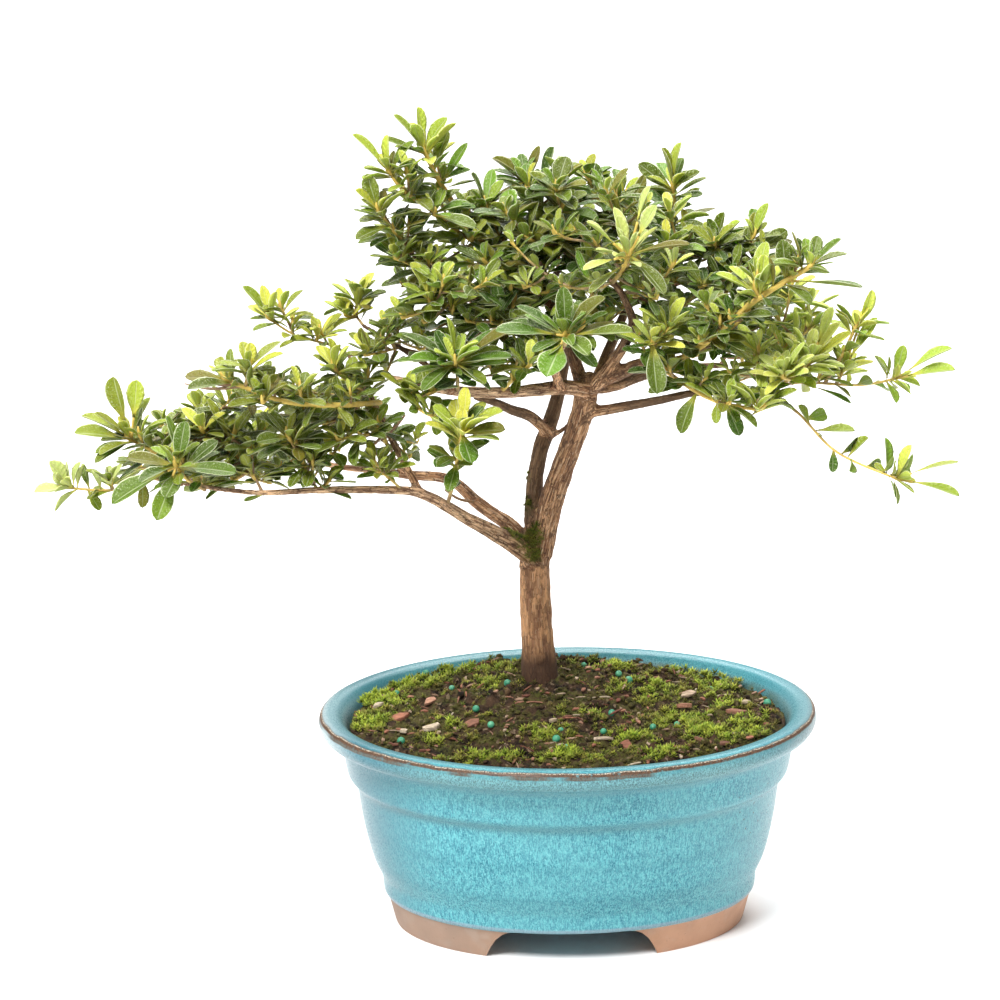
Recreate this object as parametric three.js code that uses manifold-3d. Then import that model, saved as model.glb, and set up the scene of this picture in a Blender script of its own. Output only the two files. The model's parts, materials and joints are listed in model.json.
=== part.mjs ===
// Satsuki azalea bonsai in an oval glazed pot, in millimetres, +Z up.
// The origin is under the middle of the whole plant and pot, on the surface that the pot's feet stand on.

import * as THREE from 'three';
import { mergeVertices } from 'three/addons/utils/BufferGeometryUtils.js';
import Module from 'manifold-3d';

// Pot: an oval bowl with a rolled collar rim, stepped bands and a bare foot ring
const RIM_HALF_LENGTH = 101;
const RIM_HALF_DEPTH = 81;
const POT_HEIGHT = 90;
const OVAL_NARROWING = RIM_HALF_LENGTH - RIM_HALF_DEPTH;
const OVAL_CORE = 50;
const POT_SIDES = 32;
const FLOOR_TOP = 21;
const FLOOR_UNDERSIDE = 14;
const FOOT_INNER_RADIUS = 59;
const FOOT_ARCH = { bottomHalfWidth: 34.5, topHalfWidth: 23, height: 13, shoulder: 4, below: 1 };
const DRAIN_HOLE_RADIUS = 6;
const DRAIN_HOLE_SIDES = 12;
const DRAIN_HOLE_X = 27;

// Soil and what lies on it
const SOIL_EDGE_HEIGHT = 85.2;
const SOIL_MOUND_HEIGHT = 8;
const SOIL_MOUND_SPREAD = 44;
const SOIL_RINGS = [0, 0.4, 0.75, 1];
const CLUMP_HEIGHT = 0.9;
const FINE_CLUMP_HEIGHT = 0.6;
const CHIP_THICKNESS = 2;
const CHIP_TILT = 0.12;
const BEAD_RADIUS = 2;
const SEAT_LIFT = 0.4;

// Drain screens on the pot's floor
const SCREEN_SIZE = 22;
const SCREEN_THICKNESS = 1.2;
const WINDOW_SIZE = 6.5;
const WINDOW_OFFSET = 4.2;
const CLEARANCE = 0.3;

// Slivers shorter than this, left where pieces are joined, are closed up
const SHORTEST_EDGE = 0.005;

// The plant is laid out on a sheet that faces the viewer: across, up and how far back from the pot's middle
const VIEW_TILT = THREE.MathUtils.degToRad(16);
const VIEW_ROLL = THREE.MathUtils.degToRad(-0.93);
const EYE_DISTANCE = 1700;
const VIEW_TARGET = new THREE.Vector3(-25.9, 0, 177.4);

// Young stems and the short twigs that carry the whorls
const STEM_SIDES = 3;
const STEM_TAPER = 0.3;
const TWIG_RADIUS = 0.75;
const TWIG_TIP_RADIUS = 0.68;
const GAP_FOR_TWIG = 3;
const TWIG_FORK_SETBACK = 0.35;
const TWIG_BEND_AT = 0.55;
const TWIG_SAG = 0.07;

// Leaves: spoon-shaped blades, widest beyond the middle, a little folded along the midrib
const BLADE_SIDES = 3;
const BLADE_DEPTH = 0.6;
const LEAF_WIDTH_RATIO = 0.42;
const WIDEST_LEAF_LENGTH = 24;
const BIG_LEAF_LENGTH = 25;
const LEAF_STATIONS = [0.42, 0.76, 1];
const LEAF_WIDTHS = [0.74, 1, 0];
const BIG_LEAF_STATIONS = [0.36, 0.64, 0.88, 1];
const BIG_LEAF_WIDTHS = [0.66, 1, 0.74, 0];
const ROOT_DEPTH = 0.3;
const ROOT_SETBACK = 1.2;
const ROOT_OFFSET = 0.22;

// Ages of leaves: how dark they are, and how far they have opened from the shoot's axis, in degrees
const OLD = 0;
const MID = 1;
const YOUNG = 2;
const AGE_COLOURS = [0x35602a, 0x55832f, 0x9dbb3a];
const AGE_OPENING = [64, 57, 46];
const OPENING_STEP = 11;
const OPENING_VARIATION = 14;
const WHORL_RISE = 0.7;
const WHORL_LEAF_CURL = 0.08;
const LONE_LEAF_CURL = 0.05;
const FACE_TO_VIEWER = 0.9;
const LEAF_STEP = 2;
const SHORTEST_SHARE = 0.86;
const LENGTH_VARIATION = 0.24;
const SWAY = 0.3;
const TURN_TRIES = 6;
const TURN_STEP = 0.29;
const DEPTH_TRIES = [0, 5, -5, 10, -10, 16, -16];
const CROSSING_ALLOWED = 0.3;
const LEAST_ROOT = 0.0005;

const LIMBS = [
  // Trunk
  [7, [
    [17, -82, 30, 8.6], [16, -72, 30, 7.9], [15, -56, 30, 6.6], [14, -32, 30, 6.3], [14, -19, 30, 6.3],
    [14, -12, 30, 3]
  ]],
  // Left front limb
  [5, [
    [14, -24, 30, 4.2], [6, -18, 24, 3.9], [-12, -8, 7, 2.7], [-30, 2, -8, 2.2], [-44, 4, -13, 1.8],
    [-72, 4, -18, 1.5], [-99, 3, -23, 1.2], [-129, 7, -31, 0.9]
  ]],
  // Left upright twig
  [4, [[-32, 3, -8, 1.7], [-40, 18, -6, 1.6], [-49, 36, 0, 1.4], [-61, 59, 4, 0.9]]],
  // Left rear limb
  [4, [
    [12, -20, 32, 3.4], [5, -11, 38, 3.2], [-8, -2, 46, 2.7], [-20, 8, 53, 2.3], [-36, 10, 60, 2],
    [-51, 12, 66, 1.6], [-68, 14, 70, 1.3], [-82, 19, 74, 1]
  ]],
  // Left rear stub
  [4, [[-34, 10, 60, 1.4], [-45, 16, 58, 1.2], [-53, 21, 56, 0.9]]],
  // Left riser
  [5, [
    [13, -21, 32, 4.2], [14, 6, 34, 3.5], [16, 19, 34, 3.4], [21, 34, 38, 3.1], [24, 46, 42, 2.6],
    [26, 62, 50, 2.1], [22, 80, 58, 1.7], [16, 95, 64, 1.2]
  ]],
  // Gnarled side branch
  [4, [[20, 26, 36, 2.4], [13, 33, 30, 2.3], [5, 36, 22, 2.1], [-2, 39, 14, 1.7], [-10, 41, 6, 1.2]]],
  // Short cross twig
  [4, [[20, 25, 36, 1.2], [25, 28, 38, 1], [28, 31, 40, 0.8]]],
  // Right riser
  [7, [
    [16, -22, 30, 5.4], [21, 1, 26, 4.9], [27, 18, 24, 4.6], [33, 35, 21, 4.5], [35, 46, 20, 4.9],
    [36, 50, 20, 2.6]
  ]],
  // Left horizontal limb
  [5, [[35, 44, 18, 3.4], [24, 45, 10, 2.9], [2, 43, -4, 2.4], [-22, 44, -16, 2], [-44, 49, -26, 1.2]]],
  // Right limb
  [5, [[35, 45, 20, 3.6], [40, 48, 18, 3.5], [48, 51, 13, 3], [58, 55, 6, 2.4], [66, 57, 0, 1.8]]],
  // Right rear limb
  [4, [[37, 45, 24, 2.8], [46, 46, 30, 2.5], [58, 50, 40, 2], [74, 53, 52, 1.6], [90, 54, 62, 1.2]]],
  // Right low limb
  [4, [[34, 35, 22, 2.8], [42, 36, 19, 2.2], [64, 40, 8, 1.8], [80, 43, -1, 1.5], [107, 44, -14, 1.1]]],
  // Centre riser
  [4, [[33, 46, 22, 3], [25, 70, 29, 2.1], [20, 84, 27, 1.7], [24, 93, 24, 1.3]]],
  // Rear riser
  [4, [[38, 46, 26, 2.8], [46, 66, 39, 2.1], [55, 85, 53, 1.6], [66, 95, 62, 1.2]]],
  // Front riser
  [4, [[39, 47, 17, 2.6], [49, 61, 8, 2.2], [53, 71, -4, 1.8], [49, 82, -16, 1.4], [44, 88, -24, 1.2]]],
  // Upper left branch
  [4, [[23, 75, 29, 1.9], [8, 90, 26, 1.5], [-9, 104, 20, 1.1]]],
  // Middle left branch
  [4, [[26, 66, 29, 1.9], [0, 75, 9, 1.5], [-24, 90, -4, 1.2], [-37, 100, -8, 1]]],
  // Bare dark twig
  [4, [[-19, 44, -16, 1.5], [-28, 53, -12, 1.3], [-40, 61, -7, 1.2], [-55, 70, 0, 0.9]]],
  // Upper right branch
  [4, [[51, 78, 48, 1.7], [76, 89, 33, 1.4], [94, 95, 22, 1]]],
  // Back branch
  [4, [[26, 62, 50, 1.9], [40, 75, 82, 1.5], [54, 85, 100, 1]]],
  // Back left branch
  [4, [[25, 68, 53, 1.8], [4, 74, 79, 1.4], [-18, 82, 96, 0.9]]],
  // Fore branch
  [4, [[24, 45, 10, 2.2], [22, 54, -12, 1.7], [26, 63, -48, 1.1]]],
];

const SPRAYS = [
  {
    name: 'far_left_tip',
    radius: 0.8,
    stems: [
      [[-127, 6, -31], [-144, 9, -34], [-155, 4, -37], [-174, 5, -41]],
    ],
    whorls: [[-174, 5, -41, 2, 15, YOUNG]],
    leaves: [
      [-174, 5, -179, 16, -43, YOUNG], [-174, 5, -187, 4, -44, YOUNG], [-166, 5, -160, -4, -42, MID],
      [-160, 4, -163, 12, -44, YOUNG], [-155, 4, -144, 13, -40, MID], [-144, 9, -142, -3, -38, OLD],
    ],
  },
  {
    name: 'left_upper_fan',
    radius: 0.8,
    stems: [
      [[-122, 4, -29], [-130, 15, -22], [-140, 20, -20], [-149, 25, -22]],
    ],
    whorls: [[-149, 26, -22, 2, 20, MID], [-139, 20, -20, 2, 20, OLD], [-130, 15, -22, 2, 19, OLD]],
    leaves: [
      [-149, 26, -155, 49, -24, MID], [-149, 26, -145, 48, -18, YOUNG], [-149, 25, -170, 28, -26, MID],
      [-149, 25, -167, 35, -18, MID], [-146, 23, -163, 17, -30, MID], [-146, 23, -161, 36, -26, MID],
    ],
  },
  {
    name: 'left_front_rosette',
    radius: 0.9,
    stems: [
      [[-118, 4, -29], [-125, 8, -40], [-130, 14, -48]],
    ],
    whorls: [[-130, 14, -48, 3, 22, OLD]],
    leaves: [
      [-130, 14, -156, 0, -54, OLD], [-130, 14, -137, -8, -60, MID], [-130, 14, -106, 12, -56, OLD],
      [-130, 14, -132, 34, -40, MID], [-130, 14, -149, 18, -50, OLD], [-130, 14, -114, 25, -42, OLD],
    ],
  },
  {
    name: 'left_low_fill',
    radius: 0.8,
    stems: [
      [[-95, 3, -22], [-100, 12, -14], [-109, 21, -10], [-118, 28, -8]],
    ],
    whorls: [[-100, 12, -16, 2, 20, OLD], [-109, 21, -12, 3, 20, OLD], [-118, 28, -8, 3, 19, MID]],
    leaves: [[-98, 6, -102, 0, -30, OLD], [-106, 18, -116, 40, -16, MID]],
  },
  {
    name: 'left_mid_fill',
    radius: 0.8,
    stems: [
      [[-73, 4, -17], [-79, 15, -24], [-85, 26, -30]],
    ],
    whorls: [[-79, 15, -26, 2, 20, OLD], [-85, 26, -32, 3, 22, OLD]],
    leaves: [[-75, 7, -78, 6, -34, OLD], [-85, 26, -97, 24, -40, OLD]],
  },
  {
    name: 'left_golden_stem',
    radius: 1.0,
    stems: [
      [[-48, 39, -1], [-64, 38, -26], [-84, 39, -35], [-102, 45, -38], [-111, 49, -38]],
    ],
    whorls: [
      [-111, 49, -38, 1, 15, MID], [-100, 54, -38, 2, 19, MID], [-80, 45, -36, 2, 17, MID],
      [-95, 39, -44, 1, 18, OLD],
    ],
    leaves: [
      [-111, 49, -126, 50, -38, OLD], [-107, 47, -125, 46, -46, OLD], [-100, 53, -100, 63, -36, YOUNG],
      [-100, 53, -112, 56, -42, MID], [-100, 53, -90, 53, -34, MID], [-68, 38, -69, 46, -32, MID],
      [-64, 38, -59, 30, -34, MID],
    ],
  },
  {
    name: 'left_rear_fill',
    radius: 0.8,
    stems: [
      [[-71, 15, 71], [-90, 21, 66], [-102, 24, 58]],
      [[-76, 17, 69], [-95, 15, 84], [-111, 18, 90]],
    ],
    whorls: [
      [-82, 21, 64, 2, 20, OLD], [-93, 24, 60, 2, 20, OLD], [-102, 25, 56, 2, 19, OLD],
      [-95, 15, 84, 2, 18, OLD], [-111, 18, 90, 2, 19, OLD],
    ],
    leaves: [],
  },
  {
    name: 'left_rear_fill_high',
    radius: 0.8,
    stems: [
      [[-40, 11, 62], [-46, 24, 62], [-58, 33, 60], [-68, 38, 56]],
    ],
    whorls: [[-46, 24, 62, 2, 18, OLD], [-58, 32, 60, 3, 19, OLD], [-69, 39, 56, 2, 19, OLD]],
    leaves: [],
  },
  {
    name: 'left_twig_spray',
    radius: 0.7,
    stems: [
      [[-60, 58, 4], [-68, 62, 0], [-82, 66, -6], [-93, 73, -10]],
    ],
    whorls: [[-93, 74, -10, 2, 15, YOUNG], [-83, 71, -4, 2, 14, MID], [-73, 65, -8, 2, 14, MID]],
    leaves: [[-93, 73, -102, 86, -10, MID], [-93, 73, -95, 86, -8, YOUNG], [-88, 70, -99, 69, -14, MID]],
  },
  {
    name: 'twig_lower_spray',
    radius: 0.8,
    stems: [
      [[-51, 42, 1], [-59, 46, -12], [-66, 52, -20]],
    ],
    whorls: [[-59, 46, -14, 2, 16, MID], [-67, 54, -22, 2, 16, YOUNG]],
    leaves: [[-66, 53, -68, 65, -20, YOUNG]],
  },
  {
    name: 'twig_side_spray',
    radius: 0.8,
    stems: [
      [[-46, 27, -2], [-55, 26, -16], [-65, 24, -24]],
    ],
    whorls: [[-55, 26, -18, 3, 18, OLD], [-66, 25, -26, 3, 18, MID]],
    leaves: [],
  },
  {
    name: 'twig_back_spray',
    radius: 0.8,
    stems: [
      [[-48, 33, -1], [-56, 36, 16], [-64, 41, 30]],
    ],
    whorls: [[-56, 37, 18, 2, 18, OLD], [-65, 42, 30, 3, 18, MID]],
    leaves: [],
  },
  {
    name: 'twig_top_spray',
    radius: 0.7,
    stems: [
      [[-54, 69, 0], [-58, 75, 4], [-56, 81, 6]],
    ],
    whorls: [[-56, 81, 6, 3, 15, YOUNG], [-62, 74, 0, 2, 13, YOUNG]],
    leaves: [[-56, 81, -53, 90, 4, YOUNG], [-58, 75, -67, 79, 2, YOUNG], [-59, 75, -65, 83, 6, MID]],
  },
  {
    name: 'twig_end_spray',
    radius: 0.7,
    stems: [
      [[-40, 61, -7], [-48, 59, -14], [-54, 58, -18]],
    ],
    whorls: [[-54, 59, -18, 3, 16, MID], [-46, 70, -10, 2, 16, MID]],
    leaves: [[-54, 59, -54, 68, -18, YOUNG]],
  },
  {
    name: 'low_bright_rosette',
    radius: 1.0,
    stems: [
      [[-21, -2, -1], [-18, 10, -24], [-17, 18, -42], [-15, 27, -58]],
    ],
    whorls: [[-15, 28, -58, 5, 19, YOUNG], [-18, 15, -40, 2, 18, OLD]],
    leaves: [
      [-15, 27, -13, 45, -54, YOUNG], [-15, 27, -26, 38, -60, YOUNG], [-15, 27, 0, 37, -60, YOUNG],
      [-15, 27, -12, 15, -66, MID], [-15, 27, 1, 29, -66, OLD],
    ],
  },
  {
    name: 'limb_small_shoot',
    radius: 0.7,
    stems: [
      [[-39, 4, -12], [-46, 10, -18], [-50, 12, -20]],
    ],
    whorls: [[-51, 12, -20, 3, 12, MID]],
    leaves: [],
  },
  {
    name: 'limb_golden_side',
    radius: 0.8,
    stems: [
      [[-30, 45, -18], [-37, 43, -28], [-33, 37, -34], [-26, 33, -38]],
    ],
    whorls: [[-26, 33, -38, 3, 16, MID], [-36, 42, -30, 2, 16, MID]],
    leaves: [[-26, 33, -25, 26, -40, MID]],
  },
  {
    name: 'front_left_rosette',
    radius: 1.0,
    stems: [
      [[-17, 44, -15], [-17, 49, -34], [-18, 55, -50]],
    ],
    whorls: [[-18, 56, -52, 4, 24, MID]],
    leaves: [
      [-18, 56, -41, 58, -58, OLD], [-18, 56, -38, 68, -50, OLD], [-18, 56, 6, 70, -56, OLD],
      [-18, 56, 3, 59, -60, OLD], [-18, 56, -32, 46, -60, OLD], [-18, 56, -3, 46, -58, OLD],
      [-18, 56, -20, 73, -48, YOUNG],
    ],
  },
  {
    name: 'limb_golden_long',
    radius: 0.8,
    stems: [
      [[1, 44, -5], [6, 49, -22], [12, 54, -34]],
    ],
    whorls: [[12, 54, -35, 3, 18, MID], [5, 48, -26, 1, 16, MID]],
    leaves: [],
  },
  {
    name: 'crown_left_golden',
    radius: 1.0,
    stems: [
      [[-6, 102, 21], [-16, 115, 12], [-25, 129, 5], [-31, 141, 2]],
    ],
    whorls: [[-31, 142, 2, 3, 18, YOUNG], [-24, 128, 4, 2, 15, OLD], [-15, 114, 10, 2, 19, OLD]],
    leaves: [
      [-31, 141, -33, 158, 2, YOUNG], [-31, 141, -41, 155, 0, MID], [-31, 141, -23, 154, 4, MID],
      [-28, 136, -46, 145, -6, OLD], [-27, 134, -22, 148, 8, MID], [-24, 127, -14, 143, 6, MID],
      [-22, 125, -41, 136, -4, OLD], [-19, 118, -37, 124, -6, OLD],
    ],
  },
  {
    name: 'crown_left_outer',
    radius: 0.9,
    stems: [
      [[-3, 99, 22], [-16, 107, 8], [-28, 116, -4], [-39, 124, -8], [-45, 132, -10]],
    ],
    whorls: [[-45, 133, -10, 2, 17, MID], [-38, 124, -6, 2, 16, OLD], [-26, 114, -8, 3, 19, OLD]],
    leaves: [
      [-45, 133, -58, 147, -10, MID], [-45, 133, -46, 146, -12, YOUNG], [-45, 132, -35, 135, -14, OLD],
    ],
  },
  {
    name: 'crown_left_low',
    radius: 0.8,
    stems: [
      [[-35, 99, -8], [-41, 106, -14], [-49, 116, -18]],
    ],
    whorls: [[-50, 118, -18, 3, 16, MID], [-43, 108, -14, 2, 17, OLD]],
    leaves: [
      [-50, 117, -54, 130, -18, MID], [-50, 117, -57, 125, -20, YOUNG], [-43, 107, -58, 106, -24, OLD],
    ],
  },
  {
    name: 'mid_left_outer',
    radius: 0.8,
    stems: [
      [[-25, 90, -4], [-33, 93, -12], [-42, 97, -18]],
    ],
    whorls: [[-42, 98, -18, 3, 18, MID], [-32, 93, -12, 2, 18, OLD]],
    leaves: [[-42, 98, -45, 107, -16, YOUNG]],
  },
  {
    name: 'mid_left_young',
    radius: 0.9,
    stems: [
      [[-12, 80, 2], [-21, 78, -16], [-28, 79, -26]],
    ],
    whorls: [[-28, 80, -26, 2, 17, YOUNG], [-19, 75, -18, 1, 18, YOUNG], [-39, 73, -24, 2, 17, MID]],
    leaves: [[-28, 80, -35, 95, -26, YOUNG], [-28, 80, -25, 95, -28, YOUNG]],
  },
  {
    name: 'crown_left_dark',
    radius: 0.8,
    stems: [
      [[0, 97, 22], [-2, 109, 16], [-6, 118, 12]],
    ],
    whorls: [[-7, 119, 12, 4, 20, OLD], [0, 109, 14, 2, 21, OLD]],
    leaves: [[-7, 118, -10, 131, 8, OLD]],
  },
  {
    name: 'crown_top_left',
    radius: 1.0,
    stems: [
      [[18, 89, 62], [18, 102, 54], [17, 114, 46], [16, 122, 42]],
    ],
    whorls: [[16, 123, 42, 3, 20, OLD], [18, 105, 50, 2, 21, OLD]],
    leaves: [
      [16, 123, -2, 138, 40, OLD], [16, 123, -2, 130, 44, OLD], [16, 123, 21, 141, 38, MID],
      [16, 122, 24, 136, 34, MID], [17, 114, 0, 114, 30, OLD],
    ],
  },
  {
    name: 'crown_top_centre',
    radius: 0.9,
    stems: [
      [[23, 92, 24], [24, 100, 12], [26, 106, 4]],
    ],
    whorls: [[26, 107, 4, 3, 18, YOUNG], [19, 101, -2, 3, 18, YOUNG]],
    leaves: [[26, 106, 20, 118, 2, MID], [26, 106, 33, 117, 6, MID]],
  },
  {
    name: 'crown_top_right',
    radius: 0.9,
    stems: [
      [[60, 91, 58], [50, 104, 54], [42, 115, 50], [39, 123, 48]],
    ],
    whorls: [
      [39, 124, 48, 3, 16, MID], [50, 122, 44, 2, 16, MID], [54, 114, 46, 3, 18, OLD],
      [44, 113, 46, 1, 18, OLD],
    ],
    leaves: [],
  },
  {
    name: 'crown_centre_fill',
    radius: 0.8,
    stems: [
      [[20, 84, 27], [10, 86, 8], [2, 91, -4]],
    ],
    whorls: [[2, 92, -5, 3, 20, MID], [11, 95, 4, 2, 20, OLD]],
    leaves: [],
  },
  {
    name: 'centre_low_fill',
    radius: 0.8,
    stems: [
      [[9, 71, 17], [3, 73, -8], [-3, 71, -20]],
    ],
    whorls: [[-4, 72, -22, 3, 20, OLD], [6, 80, -12, 2, 20, OLD]],
    leaves: [],
  },
  {
    name: 'pale_tall_rosette',
    radius: 1.1,
    stems: [
      [[45, 87, -23], [49, 92, -34], [52, 99, -38]],
    ],
    whorls: [[52, 100, -38, 3, 20, YOUNG]],
    leaves: [
      [52, 99, 59, 126, -36, YOUNG], [52, 99, 62, 118, -44, YOUNG], [51, 98, 48, 114, -34, YOUNG],
      [50, 94, 35, 112, -44, YOUNG], [47, 90, 34, 93, -52, YOUNG], [45, 88, 35, 84, -48, MID],
      [54, 97, 76, 104, -46, OLD], [49, 91, 67, 84, -52, OLD],
    ],
  },
  {
    name: 'crown_right_outer',
    radius: 0.9,
    stems: [
      [[65, 94, 61], [69, 104, 56], [70, 116, 50], [69, 126, 46]],
    ],
    whorls: [[69, 126, 46, 3, 17, MID], [70, 115, 50, 3, 20, OLD]],
    leaves: [
      [69, 126, 71, 143, 46, YOUNG], [69, 126, 66, 141, 44, MID], [69, 126, 79, 132, 42, OLD],
      [69, 125, 56, 135, 48, OLD], [69, 120, 81, 123, 44, OLD],
    ],
  },
  {
    name: 'crown_right_dark',
    radius: 0.9,
    stems: [
      [[93, 95, 21], [89, 98, 14], [86, 103, 10]],
      [[90, 96, 18], [98, 101, 14], [102, 106, 10]],
    ],
    whorls: [
      [86, 105, 10, 3, 19, MID], [80, 100, 15, 3, 20, OLD], [85, 95, 4, 1, 18, OLD],
      [103, 107, 10, 1, 14, MID], [106, 99, 8, 1, 16, OLD],
    ],
    leaves: [
      [86, 104, 89, 115, 8, MID], [103, 107, 106, 119, 10, YOUNG], [103, 106, 103, 115, 14, MID],
      [99, 102, 114, 107, 16, OLD],
    ],
  },
  {
    name: 'right_golden_long',
    radius: 1.2,
    stems: [
      [[64, 56, 1], [73, 57, -16], [85, 65, -34], [101, 79, -46], [125, 94, -56]],
    ],
    whorls: [
      [102, 85, -48, 3, 20, YOUNG], [125, 94, -56, 2, 18, MID], [92, 73, -46, 2, 20, OLD],
      [80, 63, -38, 2, 18, MID],
    ],
    leaves: [
      [125, 94, 136, 105, -56, OLD], [122, 93, 120, 105, -52, OLD], [102, 83, 107, 98, -46, YOUNG],
      [112, 86, 145, 86, -62, OLD], [109, 84, 125, 80, -64, OLD], [116, 89, 113, 104, -50, OLD],
    ],
  },
  {
    name: 'front_right_upright',
    radius: 0.9,
    stems: [
      [[60, 55, 4], [61, 59, -20], [61, 63, -36]],
    ],
    whorls: [[61, 64, -38, 4, 17, YOUNG], [69, 70, -34, 3, 17, YOUNG]],
    leaves: [[61, 62, 58, 73, -40, MID], [61, 60, 62, 43, -46, OLD], [69, 68, 73, 81, -36, YOUNG]],
  },
  {
    name: 'front_rosette',
    radius: 1.0,
    stems: [
      [[26, 62, -46], [26, 66, -60]],
    ],
    whorls: [[26, 66, -62, 3, 23, OLD]],
    leaves: [
      [26, 66, -1, 69, -70, OLD], [26, 66, 53, 68, -72, OLD], [26, 66, 19, 50, -80, MID],
      [26, 66, 26, 85, -62, MID], [26, 66, 40, 82, -64, OLD], [26, 66, 8, 79, -60, OLD],
    ],
  },
  {
    name: 'right_golden_low',
    radius: 0.9,
    stems: [
      [[64, 56, 2], [66, 52, -3], [76, 45, -26], [88, 39, -36], [104, 36, -42]],
    ],
    whorls: [[106, 38, -43, 4, 18, YOUNG], [76, 46, -28, 2, 17, OLD], [91, 40, -38, 3, 18, MID]],
    leaves: [
      [106, 38, 113, 58, -42, YOUNG], [77, 44, 70, 28, -34, OLD], [90, 38, 96, 26, -42, OLD],
      [85, 40, 86, 31, -42, MID], [106, 38, 118, 45, -46, MID],
    ],
  },
  {
    name: 'right_bright_rosette',
    radius: 1.0,
    stems: [
      [[108, 44, -14], [117, 49, -24], [125, 56, -30]],
    ],
    whorls: [[125, 57, -30, 4, 20, YOUNG], [115, 55, -24, 3, 19, OLD]],
    leaves: [[125, 56, 133, 77, -30, YOUNG], [125, 56, 140, 68, -34, MID]],
  },
  {
    name: 'right_trailing_upper',
    radius: 0.8,
    stems: [
      [[106, 44, -13], [120, 47, -2], [144, 46, 6], [160, 49, 8]],
    ],
    whorls: [[160, 49, 8, 2, 14, MID], [138, 54, 4, 3, 17, YOUNG], [128, 50, 0, 2, 17, OLD]],
    leaves: [
      [160, 49, 180, 62, 8, MID], [160, 49, 182, 53, 6, MID], [156, 47, 159, 39, 4, MID],
      [159, 49, 161, 62, 10, MID], [138, 53, 149, 84, 4, YOUNG], [138, 53, 150, 73, 2, MID],
    ],
  },
  {
    name: 'right_trailing_lower',
    radius: 0.8,
    stems: [
      [[106, 43, -14], [119, 35, -26], [135, 19, -35], [160, 8, -42]],
    ],
    whorls: [[160, 9, -42, 2, 15, MID]],
    leaves: [
      [125, 30, 120, 38, -30, MID], [127, 27, 142, 28, -32, MID], [134, 20, 133, 11, -36, OLD],
      [140, 16, 147, 25, -38, MID], [160, 9, 164, 22, -44, YOUNG], [160, 9, 183, 17, -44, MID],
      [160, 9, 184, 3, -48, MID], [156, 10, 150, 15, -38, MID],
    ],
  },
  {
    name: 'right_rear_fill',
    radius: 0.8,
    stems: [
      [[87, 53, 60], [94, 62, 50], [98, 68, 36]],
      [[91, 57, 55], [106, 57, 56], [117, 62, 48]],
    ],
    whorls: [
      [98, 69, 34, 3, 20, OLD], [86, 70, 40, 3, 20, OLD], [107, 59, 54, 2, 20, OLD],
      [118, 63, 46, 2, 19, OLD],
    ],
    leaves: [],
  },
  {
    name: 'back_high_fill',
    radius: 0.8,
    stems: [
      [[53, 84, 99], [56, 93, 110], [64, 95, 118]],
    ],
    whorls: [[56, 94, 112, 3, 20, OLD], [65, 97, 122, 3, 19, OLD]],
    leaves: [],
  },
  {
    name: 'back_left_fill',
    radius: 0.8,
    stems: [
      [[-17, 81, 96], [-24, 87, 104], [-28, 92, 110]],
    ],
    whorls: [[-28, 93, 112, 3, 19, OLD], [-15, 89, 104, 3, 20, OLD]],
    leaves: [],
  },
  {
    name: 'back_centre_fill',
    radius: 0.8,
    stems: [
      [[36, 71, 72], [32, 84, 90], [29, 94, 98]],
    ],
    whorls: [[29, 94, 98, 3, 20, OLD], [34, 84, 104, 3, 20, OLD]],
    leaves: [],
  },
  {
    name: 'back_mid_fill',
    radius: 0.8,
    stems: [
      [[0, 76, 84], [0, 86, 84], [-1, 95, 82]],
    ],
    whorls: [[-1, 96, 82, 3, 20, OLD], [6, 83, 92, 2, 20, OLD]],
    leaves: [],
  },
];
const wasm = await Module();
wasm.setup();

// Sheet directions in the model's own frame
const towardViewer = new THREE.Vector3(0, -Math.cos(VIEW_TILT), Math.sin(VIEW_TILT));
const sheetRight = new THREE.Vector3(1, 0, 0).applyAxisAngle(towardViewer, VIEW_ROLL);
const sheetUp = new THREE.Vector3().crossVectors(towardViewer, sheetRight);
const eye = VIEW_TARGET.clone().addScaledVector(towardViewer, EYE_DISTANCE);

function place([across, up, back]) {
  const onSheet = VIEW_TARGET.clone().addScaledVector(sheetRight, across).addScaledVector(sheetUp, up);
  const ray = onSheet.sub(eye);
  return eye.clone().addScaledVector(ray, (back - eye.y) / ray.y);
}

function seededRandom(seed) {
  let state = seed;
  return () => {
    state = (state + 0x6d2b79f5) | 0;
    let mixed = Math.imul(state ^ (state >>> 15), 1 | state);
    mixed = (mixed + Math.imul(mixed ^ (mixed >>> 7), 61 | mixed)) ^ mixed;
    return ((mixed ^ (mixed >>> 14)) >>> 0) / 4294967296;
  };
}

// Closed solids from three.js geometry, and back
function toSolid(geometry) {
  const bare = geometry.clone();
  bare.deleteAttribute('normal');
  bare.deleteAttribute('uv');
  const merged = mergeVertices(bare, 1e-4);
  return new wasm.Manifold(new wasm.Mesh({
    numProp: 3,
    vertProperties: new Float32Array(merged.attributes.position.array),
    triVerts: new Uint32Array(merged.index.array),
  }));
}

function toGeometry(solid) {
  const mesh = solid.simplify(SHORTEST_EDGE).getMesh();
  const geometry = new THREE.BufferGeometry();
  geometry.setAttribute('position', new THREE.BufferAttribute(new Float32Array(mesh.vertProperties), 3));
  geometry.setIndex(new THREE.BufferAttribute(new Uint32Array(mesh.triVerts), 1));
  geometry.computeVertexNormals();
  return geometry;
}

function joinAll(solids) {
  return solids.reduce((whole, piece) => whole.add(piece));
}

function largestBody(solid) {
  const bodies = solid.decompose();
  return bodies.reduce((best, body) => (body.volume() > best.volume() ? body : best));
}

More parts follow.
